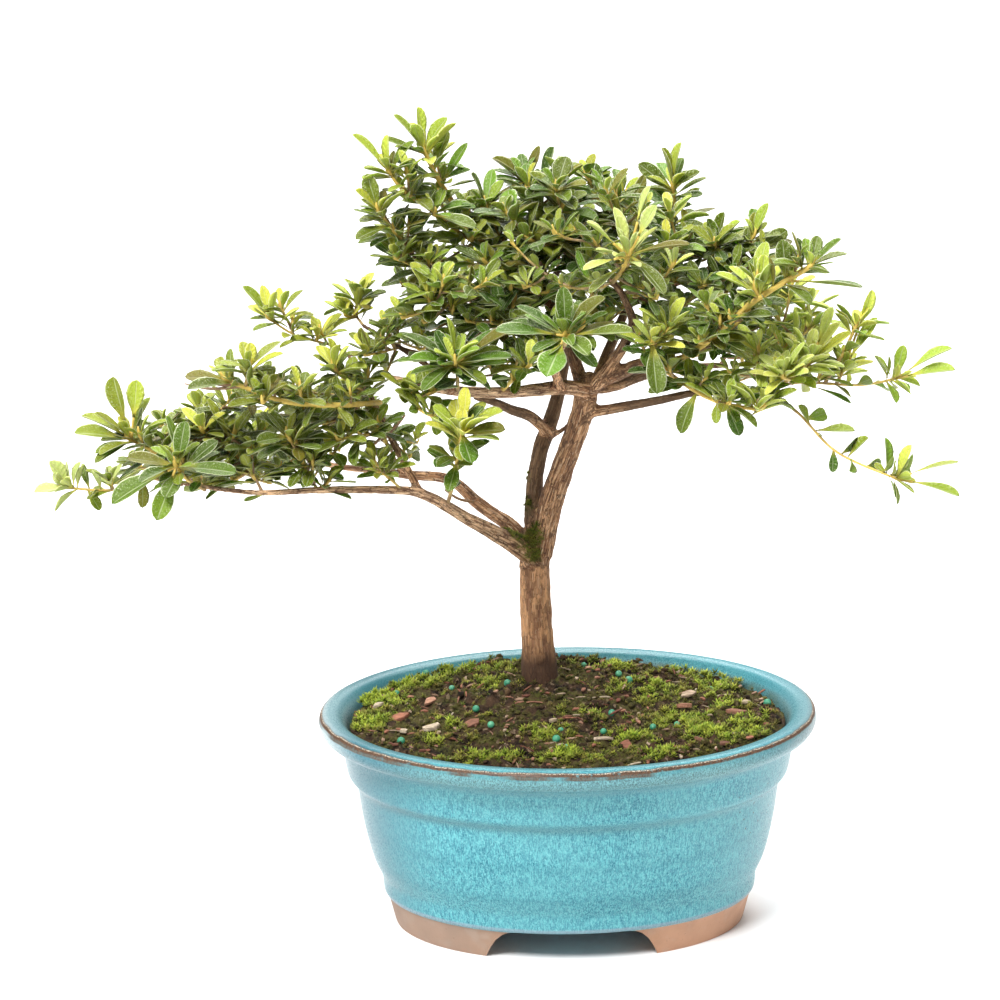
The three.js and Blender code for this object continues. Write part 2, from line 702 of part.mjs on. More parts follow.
// A tapered round limb: a cylinder whose rings are moved onto the points of its route
function limb(points, radii, sides, grow = 0) {
  const last = points.length - 1;
  const tangents = points.map((point, i) => {
    const before = points[Math.max(i - 1, 0)];
    const after = points[Math.min(i + 1, last)];
    return after.clone().sub(before).normalize();
  });
  const geometry = new THREE.CylinderGeometry(1, 1, 1, sides, last);
  const position = geometry.attributes.position;
  let side = new THREE.Vector3(0, 1, 0).cross(tangents[0]);
  if (side.lengthSq() < 0.05) side = new THREE.Vector3(1, 0, 0).cross(tangents[0]);
  const frames = tangents.map((tangent) => {
    side = side.clone().addScaledVector(tangent, -side.dot(tangent)).normalize();
    return [side, tangent.clone().cross(side)];
  });
  for (let k = 0; k < position.count; k += 1) {
    const i = Math.round((position.getY(k) + 0.5) * last);
    const ends = i === 0 ? -grow : i === last ? grow : 0;
    const radius = radii[i] + grow;
    const [first, second] = frames[i];
    const vertex = points[i].clone().addScaledVector(tangents[i], ends);
    vertex.addScaledVector(first, position.getZ(k) * radius);
    vertex.addScaledVector(second, position.getX(k) * radius);
    position.setXYZ(k, vertex.x, vertex.y, vertex.z);
  }
  return toSolid(geometry);
}

// A leaf: a three-sided cone whose floor is drawn back to the stem, flattened to a spoon-shaped blade
// with its midrib below, its edges up and its tip curled away
const RISE = new THREE.Vector3(0, 0, 1);
const EDGE_REACH = Math.sqrt(3) / 2;

function leafBlade(leaf, grow = 0) {
  const big = leaf.length > BIG_LEAF_LENGTH;
  const stations = big ? BIG_LEAF_STATIONS : LEAF_STATIONS;
  const widths = big ? BIG_LEAF_WIDTHS : LEAF_WIDTHS;
  const last = stations.length - 1;
  const geometry = new THREE.ConeGeometry(1, 1, BLADE_SIDES, last);
  const position = geometry.attributes.position;
  const along = leaf.direction;
  const across = new THREE.Vector3().crossVectors(along, leaf.face).normalize();
  const face = new THREE.Vector3().crossVectors(across, along);
  for (let k = 0; k < position.count; k += 1) {
    const i = Math.round((position.getY(k) + 0.5) * last);
    const onAxis = Math.hypot(position.getX(k), position.getZ(k)) < 1e-6;
    const shrink = 1 - i / last;
    const sideways = onAxis ? 0 : -position.getX(k) / (shrink * EDGE_REACH);
    const height = onAxis ? 0 : -position.getZ(k) / shrink;
    const s = onAxis && i === 0 ? 0 : stations[i];
    const halfWidth = (leaf.width / 2) * widths[i] + grow;
    const curl = -leaf.curl * leaf.length * s * s;
    const reach = s === 0 ? -ROOT_DEPTH : leaf.length * s + grow;
    const vertex = leaf.base.clone().addScaledVector(along, reach);
    vertex.addScaledVector(across, sideways * halfWidth);
    vertex.addScaledVector(face, height * (BLADE_DEPTH + grow) + curl);
    position.setXYZ(k, vertex.x, vertex.y, vertex.z);
  }
  return toSolid(geometry);
}

// Pieces already in place, kept with their boxes so that each new leaf can be tried against them
const placed = [];

function keep(owner, solid, isLeaf = false) {
  const box = solid.boundingBox();
  placed.push({ owner, solid, isLeaf, low: box.min, high: box.max });
}

function boxesMeet(box, entry) {
  return [0, 1, 2].every((axis) => box.min[axis] < entry.high[axis] && box.max[axis] > entry.low[axis]);
}

function meetsAnother(owner, solid) {
  const box = solid.boundingBox();
  return placed.some((entry) => (
    entry.owner !== owner
    && boxesMeet(box, entry)
    && entry.solid.intersect(solid).volume() > 0
  ));
}

function crossesOwnLeaf(owner, solid) {
  const box = solid.boundingBox();
  return placed.some((entry) => (
    entry.owner === owner
    && entry.isLeaf
    && boxesMeet(box, entry)
    && entry.solid.intersect(solid).volume() > CROSSING_ALLOWED
  ));
}

// Wood
const limbs = LIMBS.map(([sides, route]) => ({
  sides,
  points: route.map(place),
  radii: route.map((point) => point[3]),
}));
limbs.forEach((each) => keep('wood', limb(each.points, each.radii, each.sides)));
const wood = largestBody(joinAll(placed.map((entry) => entry.solid)));
const woodGuard = joinAll(limbs.map((each) => limb(each.points, each.radii, each.sides, CLEARANCE)));

// Nearest place on a route, and how far along it that is
function nearestOn(points, target) {
  let best = { distance: Infinity };
  for (let i = 0; i < points.length - 1; i += 1) {
    const line = new THREE.Line3(points[i], points[i + 1]);
    const spot = line.closestPointToPoint(target, true, new THREE.Vector3());
    const distance = spot.distanceTo(target);
    if (distance < best.distance) {
      const heading = line.delta(new THREE.Vector3()).normalize();
      best = { distance, spot, heading, segmentStart: points[i] };
    }
  }
  return best;
}

function nearestOf(routes, target) {
  const spots = routes.map((route) => nearestOn(route, target));
  return spots.reduce((best, spot) => (spot.distance < best.distance ? spot : best));
}

// Young stems and the short twigs that carry the whorls
function twigRoute(near, tip) {
  const setBack = Math.min(near.distance * TWIG_FORK_SETBACK, near.spot.distanceTo(near.segmentStart));
  const start = near.spot.clone().addScaledVector(near.heading, -setBack);
  const bend = start.clone().lerp(tip, TWIG_BEND_AT).addScaledVector(RISE, -TWIG_SAG * near.distance);
  return [start, bend, tip];
}

function growStems(spray) {
  const routes = spray.stems.map((stem) => stem.map(place));
  routes.forEach((points) => {
    const radii = points.map((_, i) => spray.radius * (1 - STEM_TAPER * (i / (points.length - 1))));
    keep(spray.name, limb(points, radii, STEM_SIDES));
  });
  const mainRoutes = [...routes];
  const whorls = spray.whorls.map(([across, up, back, count, length, age]) => {
    const tip = place([across, up, back]);
    const near = nearestOf(mainRoutes, tip);
    let heading = near.heading;
    let centre = near.spot;
    if (near.distance > GAP_FOR_TWIG) {
      const twig = twigRoute(near, tip);
      routes.push(twig);
      keep(spray.name, limb(twig, [TWIG_RADIUS, TWIG_RADIUS, TWIG_TIP_RADIUS], STEM_SIDES));
      heading = tip.clone().sub(twig[1]).normalize();
      centre = tip;
    }
    const axis = heading.clone().addScaledVector(RISE, WHORL_RISE).normalize();
    return { centre, heading, axis, count, length, age };
  });
  const stems = placed.filter((entry) => entry.owner === spray.name).map((entry) => entry.solid);
  const core = largestBody(joinAll(stems).subtract(woodGuard));
  return { spray, routes, whorls, core };
}

function tryLeaf(shoot, leaf) {
  const owner = shoot.spray.name;
  const blade = leafBlade(leaf);
  if (shoot.core.intersect(blade).volume() < LEAST_ROOT) return false;
  if (crossesOwnLeaf(owner, blade)) return false;
  if (meetsAnother(owner, leafBlade(leaf, CLEARANCE + 0.1))) return false;
  keep(owner, blade, true);
  return true;
}

// A leaf whose place is known: from the nearest stem to its tip, tried nearer and farther from the viewer
function aimedLeaf(shoot, [fromAcross, fromUp, toAcross, toUp, back], random) {
  const from = place([fromAcross, fromUp, back]);
  const near = nearestOf(shoot.routes, from);
  const base = near.spot.addScaledVector(near.heading, -ROOT_SETBACK);
  const roll = random() - 0.5;
  DEPTH_TRIES.some((shift) => {
    const tip = place([toAcross, toUp, back + shift]);
    const direction = tip.sub(base);
    const length = direction.length();
    direction.normalize();
    const width = LEAF_WIDTH_RATIO * Math.min(length, WIDEST_LEAF_LENGTH);
    const face = RISE.clone().addScaledVector(towardViewer, FACE_TO_VIEWER).addScaledVector(sheetRight, roll);
    return tryLeaf(shoot, { base, direction, face, length, width, curl: LONE_LEAF_CURL });
  });
}

// A whorl: leaves turned evenly about the shoot's tip and stepped down its stem, the young ones upright
function whorlLeaves(shoot, whorl, random) {
  const side = new THREE.Vector3().crossVectors(whorl.axis, sheetRight).normalize();
  const other = new THREE.Vector3().crossVectors(whorl.axis, side);
  const start = random() * Math.PI * 2;
  for (let n = 0; n < whorl.count; n += 1) {
    const step = n % 2 ? OPENING_STEP : -OPENING_STEP;
    const opening = AGE_OPENING[whorl.age] + step + OPENING_VARIATION * (random() - 0.5);
    const spread = THREE.MathUtils.degToRad(opening);
    const length = whorl.length * (SHORTEST_SHARE + LENGTH_VARIATION * random());
    const sway = SWAY * (random() - 0.5);
    for (let turn = 0; turn < TURN_TRIES; turn += 1) {
      const angle = start + ((n + turn * TURN_STEP) / whorl.count) * Math.PI * 2 + sway;
      const outward = side.clone().multiplyScalar(Math.cos(angle)).addScaledVector(other, Math.sin(angle));
      const direction = whorl.axis.clone().multiplyScalar(Math.cos(spread));
      direction.addScaledVector(outward, Math.sin(spread)).normalize();
      const face = whorl.axis.clone().addScaledVector(outward, -0.2);
      const base = whorl.centre.clone().addScaledVector(whorl.heading, -LEAF_STEP * n - ROOT_SETBACK);
      base.addScaledVector(outward, ROOT_OFFSET);
      const width = LEAF_WIDTH_RATIO * length;
      if (tryLeaf(shoot, { base, direction, face, length, width, curl: WHORL_LEAF_CURL })) break;
    }
  }
}

const shoots = SPRAYS.map(growStems);
shoots.forEach((shoot, i) => {
  const random = seededRandom(100 + i);
  shoot.spray.leaves.forEach((leaf) => aimedLeaf(shoot, leaf, random));
});
shoots.forEach((shoot, i) => {
  const random = seededRandom(500 + i);
  shoot.whorls.forEach((whorl) => whorlLeaves(shoot, whorl, random));
});

function sprayBody(shoot) {
  const leaves = placed.filter((entry) => entry.owner === shoot.spray.name && entry.isLeaf);
  return largestBody(joinAll([shoot.core, ...leaves.map((entry) => entry.solid)]));
}

// The age that most of a spray's leaves have gives the spray its colour
function sprayAge({ whorls, leaves }) {
  const counts = [0, 0, 0];
  whorls.forEach((whorl) => { counts[whorl[5]] += whorl[3]; });
  leaves.forEach((leaf) => { counts[leaf[5]] += 1; });
  return counts.indexOf(Math.max(...counts));
}

// Pot: an oval turned about its middle, each ring inset by the same amount all round
function ovalDepth(radius) {
  if (radius > OVAL_CORE) return radius - OVAL_NARROWING;
  return (radius * (OVAL_CORE - OVAL_NARROWING)) / OVAL_CORE;
}

function makeOval(geometry) {
  geometry.rotateX(Math.PI / 2);
  const position = geometry.attributes.position;
  for (let k = 0; k < position.count; k += 1) {
    const x = position.getX(k);
    const y = position.getY(k);
    const radius = Math.hypot(x, y);
    const squeeze = radius > 0 ? ovalDepth(radius) / radius : 1;
    position.setY(k, y * squeeze);
  }
  return geometry;
}

function turned(profile) {
  const points = profile.map(([radius, height]) => new THREE.Vector2(radius, height));
  return toSolid(makeOval(new THREE.LatheGeometry(points, POT_SIDES)));
}

// Outer wall from the foot up, then over the rim and down the inner wall: how far in from the rim, and height
const POT_WALL = [
  [29.8, 0], [26.4, 12.5], [25.2, 15], [24.6, 20], [20.6, 29], [17.4, 43], [15.2, 59], [11.6, 63.5],
  [9.4, 78], [2.4, 81], [0, 85], [0.8, 88.4], [3.4, POT_HEIGHT],
  [8, 89], [12, 84], [16, 64], [24, 36], [36, FLOOR_TOP],
];
const INNER_WALL_START = 13;

// The arched gap under the middle of the pot, front to back, that leaves two feet
function footArch() {
  const { bottomHalfWidth, topHalfWidth, height, shoulder, below } = FOOT_ARCH;
  const corner = bottomHalfWidth - shoulder;
  const arch = new THREE.Shape();
  arch.moveTo(-bottomHalfWidth, -below);
  arch.lineTo(bottomHalfWidth, -below);
  arch.quadraticCurveTo(corner, height, topHalfWidth, height);
  arch.lineTo(-topHalfWidth, height);
  arch.quadraticCurveTo(-corner, height, -bottomHalfWidth, -below);
  const depth = 3 * RIM_HALF_DEPTH;
  const through = new THREE.ExtrudeGeometry(arch, { depth, bevelEnabled: false, curveSegments: 4 });
  through.rotateX(Math.PI / 2);
  through.translate(0, depth / 2, 0);
  return toSolid(through);
}

function buildPot() {
  const profile = [[0, FLOOR_UNDERSIDE], [FOOT_INNER_RADIUS, FLOOR_UNDERSIDE], [FOOT_INNER_RADIUS, 0]];
  POT_WALL.forEach(([inset, height]) => profile.push([RIM_HALF_LENGTH - inset, height]));
  profile.push([0, FLOOR_TOP]);
  let pot = turned(profile);
  pot = pot.subtract(footArch());
  [-DRAIN_HOLE_X, DRAIN_HOLE_X].forEach((x) => {
    const hole = new THREE.CylinderGeometry(
      DRAIN_HOLE_RADIUS, DRAIN_HOLE_RADIUS, 3 * FLOOR_TOP, DRAIN_HOLE_SIDES,
    );
    hole.rotateX(Math.PI / 2);
    hole.translate(x, 0, 0);
    pot = pot.subtract(toSolid(hole));
  });
  return pot;
}

// Drain screens: small plates with four windows that lie on the floor over the drain holes
function buildScreen(x) {
  const height = FLOOR_TOP + CLEARANCE + SCREEN_THICKNESS / 2;
  const plate = new THREE.BoxGeometry(SCREEN_SIZE, SCREEN_SIZE, SCREEN_THICKNESS);
  let screen = toSolid(plate.translate(x, 0, height));
  [-WINDOW_OFFSET, WINDOW_OFFSET].forEach((across) => {
    [-WINDOW_OFFSET, WINDOW_OFFSET].forEach((back) => {
      const window = new THREE.BoxGeometry(WINDOW_SIZE, WINDOW_SIZE, 3 * SCREEN_THICKNESS);
      screen = screen.subtract(toSolid(window.translate(x + across, back, height)));
    });
  });
  return screen;
}

function screenRecess(x) {
  const size = SCREEN_SIZE + 2 * CLEARANCE;
  const recess = new THREE.BoxGeometry(size, size, 2 * (SCREEN_THICKNESS + CLEARANCE));
  return toSolid(recess.translate(x, 0, FLOOR_TOP + CLEARANCE));
}

// Soil: fills the pot to just under the rim, heaped a little round the trunk, with a clumped surface
const trunkFoot = place(LIMBS[0][1][1]);

function soilHeight(x, y) {
  const away = Math.hypot(x - trunkFoot.x, y - trunkFoot.y);
  const mound = SOIL_MOUND_HEIGHT * Math.exp(-((away / SOIL_MOUND_SPREAD) ** 2));
  const clumps = CLUMP_HEIGHT * Math.sin(x * 0.31 + 1.3) * Math.cos(y * 0.27);
  const fine = FINE_CLUMP_HEIGHT * Math.sin(x * 0.83 - y * 0.61);
  return SOIL_EDGE_HEIGHT + mound + clumps + fine;
}

function innerRadius(height) {
  const inner = POT_WALL.slice(INNER_WALL_START).map(([inset, z]) => [RIM_HALF_LENGTH - inset, z]);
  for (let i = 0; i < inner.length - 1; i += 1) {
    const [upper, lower] = [inner[i], inner[i + 1]];
    if (height <= upper[1] && height >= lower[1]) {
      return lower[0] + ((upper[0] - lower[0]) * (height - lower[1])) / (upper[1] - lower[1]);
    }
  }
  return inner[0][0];
}

function soilGeometry() {
  const profile = [[0, FLOOR_TOP + CLEARANCE]];
  const buried = POT_WALL.slice(INNER_WALL_START).filter(([, height]) => height < SOIL_EDGE_HEIGHT);
  buried.reverse().forEach(([inset, height]) => {
    const lift = height === FLOOR_TOP ? CLEARANCE : 0;
    profile.push([RIM_HALF_LENGTH - inset - 2 * CLEARANCE, height + lift]);
  });
  const edge = innerRadius(SOIL_EDGE_HEIGHT) - 2 * CLEARANCE;
  [...SOIL_RINGS].reverse().forEach((share) => profile.push([edge * share, SOIL_EDGE_HEIGHT]));
  const points = profile.map(([radius, height]) => new THREE.Vector2(radius, height));
  const geometry = makeOval(new THREE.LatheGeometry(points, POT_SIDES));
  const position = geometry.attributes.position;
  for (let k = 0; k < position.count; k += 1) {
    const share = Math.hypot(position.getX(k) / edge, position.getY(k) / ovalDepth(edge));
    if (Math.abs(position.getZ(k) - SOIL_EDGE_HEIGHT) < 1e-3 && share < 0.99) {
      const x = position.getX(k) + trunkFoot.x * (1 - share);
      const y = position.getY(k) + trunkFoot.y * (1 - share);
      position.setXYZ(k, x, y, soilHeight(x, y));
    }
  }
  return geometry;
}

const uncutSoil = soilGeometry();
const soilSurface = new THREE.Mesh(uncutSoil, new THREE.MeshStandardMaterial({ side: THREE.DoubleSide }));

function surfaceAt(x, y) {
  const from = new THREE.Vector3(x, y, 2 * POT_HEIGHT);
  const hits = new THREE.Raycaster(from, new THREE.Vector3(0, 0, -1)).intersectObject(soilSurface);
  return hits[0].point.z;
}

// Bark chips and fertiliser beads, half sunk in the soil
const CHIPS = [
  // x, y, length, width, turn, colour
  [-68, -1, 9, 5, 0.6, 0x9a5a48],
  [-55, -17, 9, 5, 0.3, 0xb39a78],
  [48, 2, 8, 5, 2.7, 0x8f5444],
  [69, -2, 9, 5, 0.2, 0x9a5a48],
  [23, -39, 9, 4, 1.9, 0x9c4f38],
];
const BEADS = [[-70, 27], [-67, -28], [-5, -33], [26, 30], [82, 13]];

function onSoil(geometry, x, y) {
  return geometry.translate(x, y, surfaceAt(x, y) + SEAT_LIFT);
}

function chip([x, y, length, width, turn], grow = 0) {
  const outline = new THREE.Shape();
  const half = length / 2 + grow;
  const side = width / 2 + grow;
  outline.moveTo(-half, -0.5 * side);
  outline.lineTo(0.3 * half, -side);
  outline.lineTo(half, 0.1 * side);
  outline.lineTo(0.4 * half, side);
  outline.lineTo(-0.8 * half, 0.8 * side);
  const depth = CHIP_THICKNESS + 2 * grow;
  const plate = new THREE.ExtrudeGeometry(outline, { depth, bevelEnabled: false });
  plate.translate(0, 0, -depth / 2);
  plate.rotateX(CHIP_TILT);
  plate.rotateZ(turn);
  return toSolid(onSoil(plate, x, y));
}

function bead([x, y], grow = 0) {
  return toSolid(onSoil(new THREE.IcosahedronGeometry(BEAD_RADIUS + grow, 0), x, y));
}

// Colours and the finished group
function finish(color, roughness) {
  return new THREE.MeshStandardMaterial({ color, roughness, metalness: 0 });
}

const POT_FINISH = finish(0x35a0b0, 0.3);
const SOIL_FINISH = finish(0x2e2219, 1);
const WOOD_FINISH = finish(0x6b4a3a, 0.85);
const LEAF_FINISHES = AGE_COLOURS.map((colour) => finish(colour, 0.5));
const SCREEN_FINISH = finish(0x20241f, 0.6);
const BEAD_FINISH = finish(0x1f8f80, 0.5);

const group = new THREE.Group();

function addPart(name, solid, material) {
  const mesh = new THREE.Mesh(toGeometry(solid), material);
  mesh.name = name;
  group.add(mesh);
}

addPart('pot', buildPot(), POT_FINISH);
addPart('drain_screen_left', buildScreen(-DRAIN_HOLE_X), SCREEN_FINISH);
addPart('drain_screen_right', buildScreen(DRAIN_HOLE_X), SCREEN_FINISH);
const soilCutters = [
  woodGuard,
  screenRecess(-DRAIN_HOLE_X),
  screenRecess(DRAIN_HOLE_X),
  ...CHIPS.map((each) => chip(each, CLEARANCE)),
  ...BEADS.map((each) => bead(each, CLEARANCE + 0.2)),
];
const soil = soilCutters.reduce((rest, cutter) => rest.subtract(cutter), toSolid(uncutSoil));
addPart('soil', largestBody(soil), SOIL_FINISH);
CHIPS.forEach((each, i) => addPart(`bark_chip_${i + 1}`, chip(each), finish(each[5], 0.9)));
BEADS.forEach((each, i) => addPart(`feed_bead_${i + 1}`, bead(each), BEAD_FINISH));
addPart('wood', wood, WOOD_FINISH);
shoots.forEach((shoot) => {
  addPart(`spray_${shoot.spray.name}`, sprayBody(shoot), LEAF_FINISHES[sprayAge(shoot.spray)]);
});

// Stand the whole on the origin: under the middle of its box
const bounds = new THREE.Box3().setFromObject(group);
const middle = bounds.getCenter(new THREE.Vector3());
group.position.set(-middle.x, -middle.y, -bounds.min.z);

export default group;
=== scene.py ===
"""Satsuki azalea bonsai in an oval glazed pot: the finished look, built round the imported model."""
import json
import math
import random

import bmesh
import bpy
import numpy as np
from mathutils import Matrix, Vector, kdtree, noise

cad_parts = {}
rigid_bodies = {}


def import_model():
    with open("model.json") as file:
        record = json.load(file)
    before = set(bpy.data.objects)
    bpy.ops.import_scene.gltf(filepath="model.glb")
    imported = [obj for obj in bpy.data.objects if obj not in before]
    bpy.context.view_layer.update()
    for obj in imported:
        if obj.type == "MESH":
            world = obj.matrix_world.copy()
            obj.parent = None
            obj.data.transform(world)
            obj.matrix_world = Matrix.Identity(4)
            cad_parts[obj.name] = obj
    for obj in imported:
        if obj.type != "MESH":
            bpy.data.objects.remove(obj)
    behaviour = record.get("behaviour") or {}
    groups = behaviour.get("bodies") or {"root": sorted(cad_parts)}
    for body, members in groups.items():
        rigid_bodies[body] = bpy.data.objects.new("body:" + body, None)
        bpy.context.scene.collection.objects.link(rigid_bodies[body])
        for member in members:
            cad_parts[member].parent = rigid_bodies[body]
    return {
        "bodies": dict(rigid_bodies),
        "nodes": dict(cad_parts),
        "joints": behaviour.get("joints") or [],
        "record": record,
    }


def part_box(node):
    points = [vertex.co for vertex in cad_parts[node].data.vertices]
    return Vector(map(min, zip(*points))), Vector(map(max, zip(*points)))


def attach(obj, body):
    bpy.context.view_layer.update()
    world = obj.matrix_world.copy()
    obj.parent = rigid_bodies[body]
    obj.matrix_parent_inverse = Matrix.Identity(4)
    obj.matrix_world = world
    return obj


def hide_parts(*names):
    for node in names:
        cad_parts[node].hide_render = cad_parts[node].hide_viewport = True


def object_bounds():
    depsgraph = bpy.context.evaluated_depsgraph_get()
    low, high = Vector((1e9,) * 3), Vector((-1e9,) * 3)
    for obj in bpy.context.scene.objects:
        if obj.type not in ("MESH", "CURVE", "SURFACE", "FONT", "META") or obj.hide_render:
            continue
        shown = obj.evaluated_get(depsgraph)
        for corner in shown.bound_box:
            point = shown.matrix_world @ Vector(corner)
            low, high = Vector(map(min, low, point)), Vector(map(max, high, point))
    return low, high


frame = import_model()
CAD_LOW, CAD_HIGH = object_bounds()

# Lengths are in millimetres round the middle of the pot, as the plant is laid out, until a mesh is made
MM = 0.001
POT_LOW, POT_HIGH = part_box("pot")
POT_CENTRE = np.array([(POT_LOW.x + POT_HIGH.x) / 2, (POT_LOW.y + POT_HIGH.y) / 2, 0.0])
BOX_LOW = (np.array(CAD_LOW) - POT_CENTRE) / MM + 0.05
BOX_HIGH = (np.array(CAD_HIGH) - POT_CENTRE) / MM - 0.05
FULL_TURN = 2 * math.pi

# Pot: an oval bowl with a rolled collar rim, stepped bands and a bare foot ring
RIM_HALF_LENGTH = 101
RIM_HALF_DEPTH = 81
OVAL_NARROWING = RIM_HALF_LENGTH - RIM_HALF_DEPTH
OVAL_CORE = 50
FLOOR_TOP = 21
FLOOR_UNDERSIDE = 14
FOOT_INNER_RADIUS = 59
DRAIN_HOLE_RADIUS = 6
DRAIN_HOLE_X = 27
DRAIN_HOLE_SIDES = 32
POT_SIDES = 192
POT_SHARP_ANGLE = math.radians(38)
# Outer wall from the foot up, then over the rim and down the inner wall: how far in from the rim, and height
POT_WALL = [
    (29.8, 0), (29.4, 1), (26.6, 12.2), (25.3, 13.2), (24.9, 15), (24.6, 20), (23.3, 23), (20.6, 29),
    (17.4, 43), (15.6, 56), (15, 60), (14, 61.6), (12.2, 63), (11.2, 65), (10.2, 71), (9.2, 77),
    (7.8, 79.2), (3.6, 80.4), (1.6, 81.6), (0.2, 84), (0, 86), (0.6, 88.4), (2, 89.6), (4.2, 90),
    (7.6, 89.5), (9.6, 87.6), (12, 84), (16, 64), (24, 36), (33, 22.4), (36, 21),
]
INNER_WALL = POT_WALL[-4:]

# Soil
SOIL_EDGE_HEIGHT = 85.2
SOIL_MOUND_HEIGHT = 8
SOIL_MOUND_SPREAD = 44
SOIL_GAP = 0.6
SOIL_EDGE_RADIUS = RIM_HALF_LENGTH - 12 - SOIL_GAP
SOIL_EDGE_DIP = 2.2
SOIL_SIDES = 204
SOIL_RINGS = 78
CRUMB_COUNT = 2300
STONE_COUNT = 210

# Bark chips as x, y, length, width, turn and how tan; the first list stands for the plain solids
CHIPS = [
    (-68, -1, 9, 5, 0.6, 0.0), (-55, -17, 9, 5, 0.3, 0.9), (48, 2, 8, 5, 2.7, 0.1),
    (69, -2, 9, 5, 0.2, 0.1), (23, -39, 9, 4, 1.9, 0.0),
]
LOOSE_CHIPS = [
    (-56, 12, 6, 3, 0.9, 0.2), (-39, -13, 7, 4, 0.5, 0.1), (54, -35, 8, 2.6, 2.8, 0.1),
    (77, 47, 8, 3, 2.2, 0.4), (-77, 12, 4, 3, 0.4, 0.9), (-66, -21, 4, 3, 1.2, 0.9),
    (-6, -16, 4, 3, 1.1, 0.9), (14, -35, 6, 3, 0.1, 0.8), (73, 10, 4, 3, 0.2, 0.9),
    (62, -36, 5, 3, 0.6, 0.1), (50, 14, 6, 3, 0.4, 0.7), (-18, 8, 7, 2, 0.2, 0.4),
]
CHIP_THICKNESS = 1.7
LOOSE_CHIP_THICKNESS = 1.2
LOOSE_CHIP_SCALE = 1.25
CHIP_CORNERS = 6
CHIP_SHARP_ANGLE = math.radians(40)
# Levels of a chip from its underside to its top, with how far each reaches out
CHIP_LEVELS = [(-0.5, 0.93), (-0.35, 1.0), (0.35, 1.0), (0.5, 0.96)]
SPLINTER_COUNT = 170
SPLINTER_THICKNESS = 0.7
SLIVER_COUNT = 150
SLIVER_THICKNESS = 0.45

# Feed beads as x and y; the first list stands for the plain solids
BEADS = [(-70, 27), (-67, -28), (-5, -33), (26, 30), (82, 13)]
LOOSE_BEADS = [
    (-47, 26), (-37, -2), (-31, -17), (-3, -24), (-1, -42), (18, -5), (51, 40), (34, -20), (14, -26),
    (-58, 51), (8, 52), (22, 36), (60, 34), (44, -12), (-24, 20),
]
BEAD_RADIUS = 1.65
BEAD_DENT = 0.06

# Moss on the soil: patches as x, y, half width, half depth, and how thick and bright
MOSS_PATCHES = [
    (-76, 22, 18, 24, 1.1), (-66, 40, 20, 16, 1.0), (-80, -4, 11, 16, 1.0), (-34, -50, 28, 9, 0.95),
    (2, -50, 28, 10, 1.05), (34, -46, 22, 10, 1.0), (60, -24, 24, 15, 1.1), (44, -8, 20, 18, 0.9),
    (62, 38, 16, 12, 1.1), (20, 52, 26, 10, 1.1), (34, 22, 24, 18, 0.85), (-8, -24, 14, 10, 0.95),
    (-40, 50, 24, 11, 0.9), (8, -8, 14, 12, 0.6), (-52, -30, 14, 10, 0.8), (76, -10, 12, 14, 0.85),
    (-20, 44, 16, 12, 0.7), (24, -28, 18, 10, 0.9), (48, 52, 18, 8, 0.95), (-30, 24, 16, 14, 0.6),
    (-44, -8, 14, 10, 0.6), (66, 12, 16, 12, 0.75),
]
TUFT_COUNT = 1500
MOSS_SPLIT = 4

# Drain screens
SCREEN_SIZE = 22
SCREEN_THICKNESS = 1.2
SCREEN_LIFT = 0.3
SCREEN_STRANDS = 9
STRAND_RADIUS = 0.38
STRAND_WEAVE = 0.2

# The plant is laid out on a sheet that faces the viewer: across, up and how far back from the pot's middle
VIEW_TILT = math.radians(16)
VIEW_ROLL = math.radians(-0.93)
EYE_DISTANCE = 1700
VIEW_TARGET = Vector((-25.9, 0, 177.4))
LENS = 153
SENSOR = 36

# Wood
BARK_VOXEL = 0.84
LIMB_SIDES = 28
JOINT_BLUR = 2.6
# Without a seed, noise_vector takes its offsets from the clock
JOINT_SEED = 5
GRAIN_STEP = 37.0
# How weathered and pale each limb's bark is, by its place in LIMBS
LIMB_TONES = {
    0: 0.44, 1: 0.7, 2: 0.72, 3: 0.4, 5: 0.0, 6: 0.05, 7: 0.05, 8: 0.32, 9: 0.75, 10: 0.25, 11: 0.1, 12: 0.0,
    13: 0.05, 14: 0.0, 15: 0.15, 18: 0.05,
}
USUAL_TONE = 0.5
ROOT_TONE = 0.45
TONE_REACH = 26
# Where moss grows on the bark: across, up, back and how far it reaches
MOSSY_SPOTS = [
    (11, -15, 23, 7.5), (5, -13, 24, 6.5), (8.5, -3, 28, 5.8), (8, 9, 31, 5), (9, 20, 32, 4.4), (13, -22, 23, 5),
    (12, -80, 22, 6),
]
WOOD_MOSS_COUNT = 420

# Young stems and twigs
STEM_TAPER = 0.3
STEM_SIDES = 8
TWIG_SIDES = 6
TWIG_RADIUS = 0.75
TWIG_TIP_RADIUS = 0.68
GAP_FOR_TWIG = 3
TWIG_FORK_SETBACK = 0.35
TWIG_BEND_AT = 0.55
TWIG_SAG = 0.07
GOLDEN_STEM_FULLNESS = 1.2
STEM_FULLNESS = 0.85
LONG_SHOOT = 17
# The tips of thin bare twigs, as across, up and back
BARE_TIPS = [
    (-53, 20.5, 0), (-38, 34, -3), (-125, 50, -22), (-126, 46.5, -22), (-22, 4, 30), (-62, 26, -4), (30, 20, 26),
]

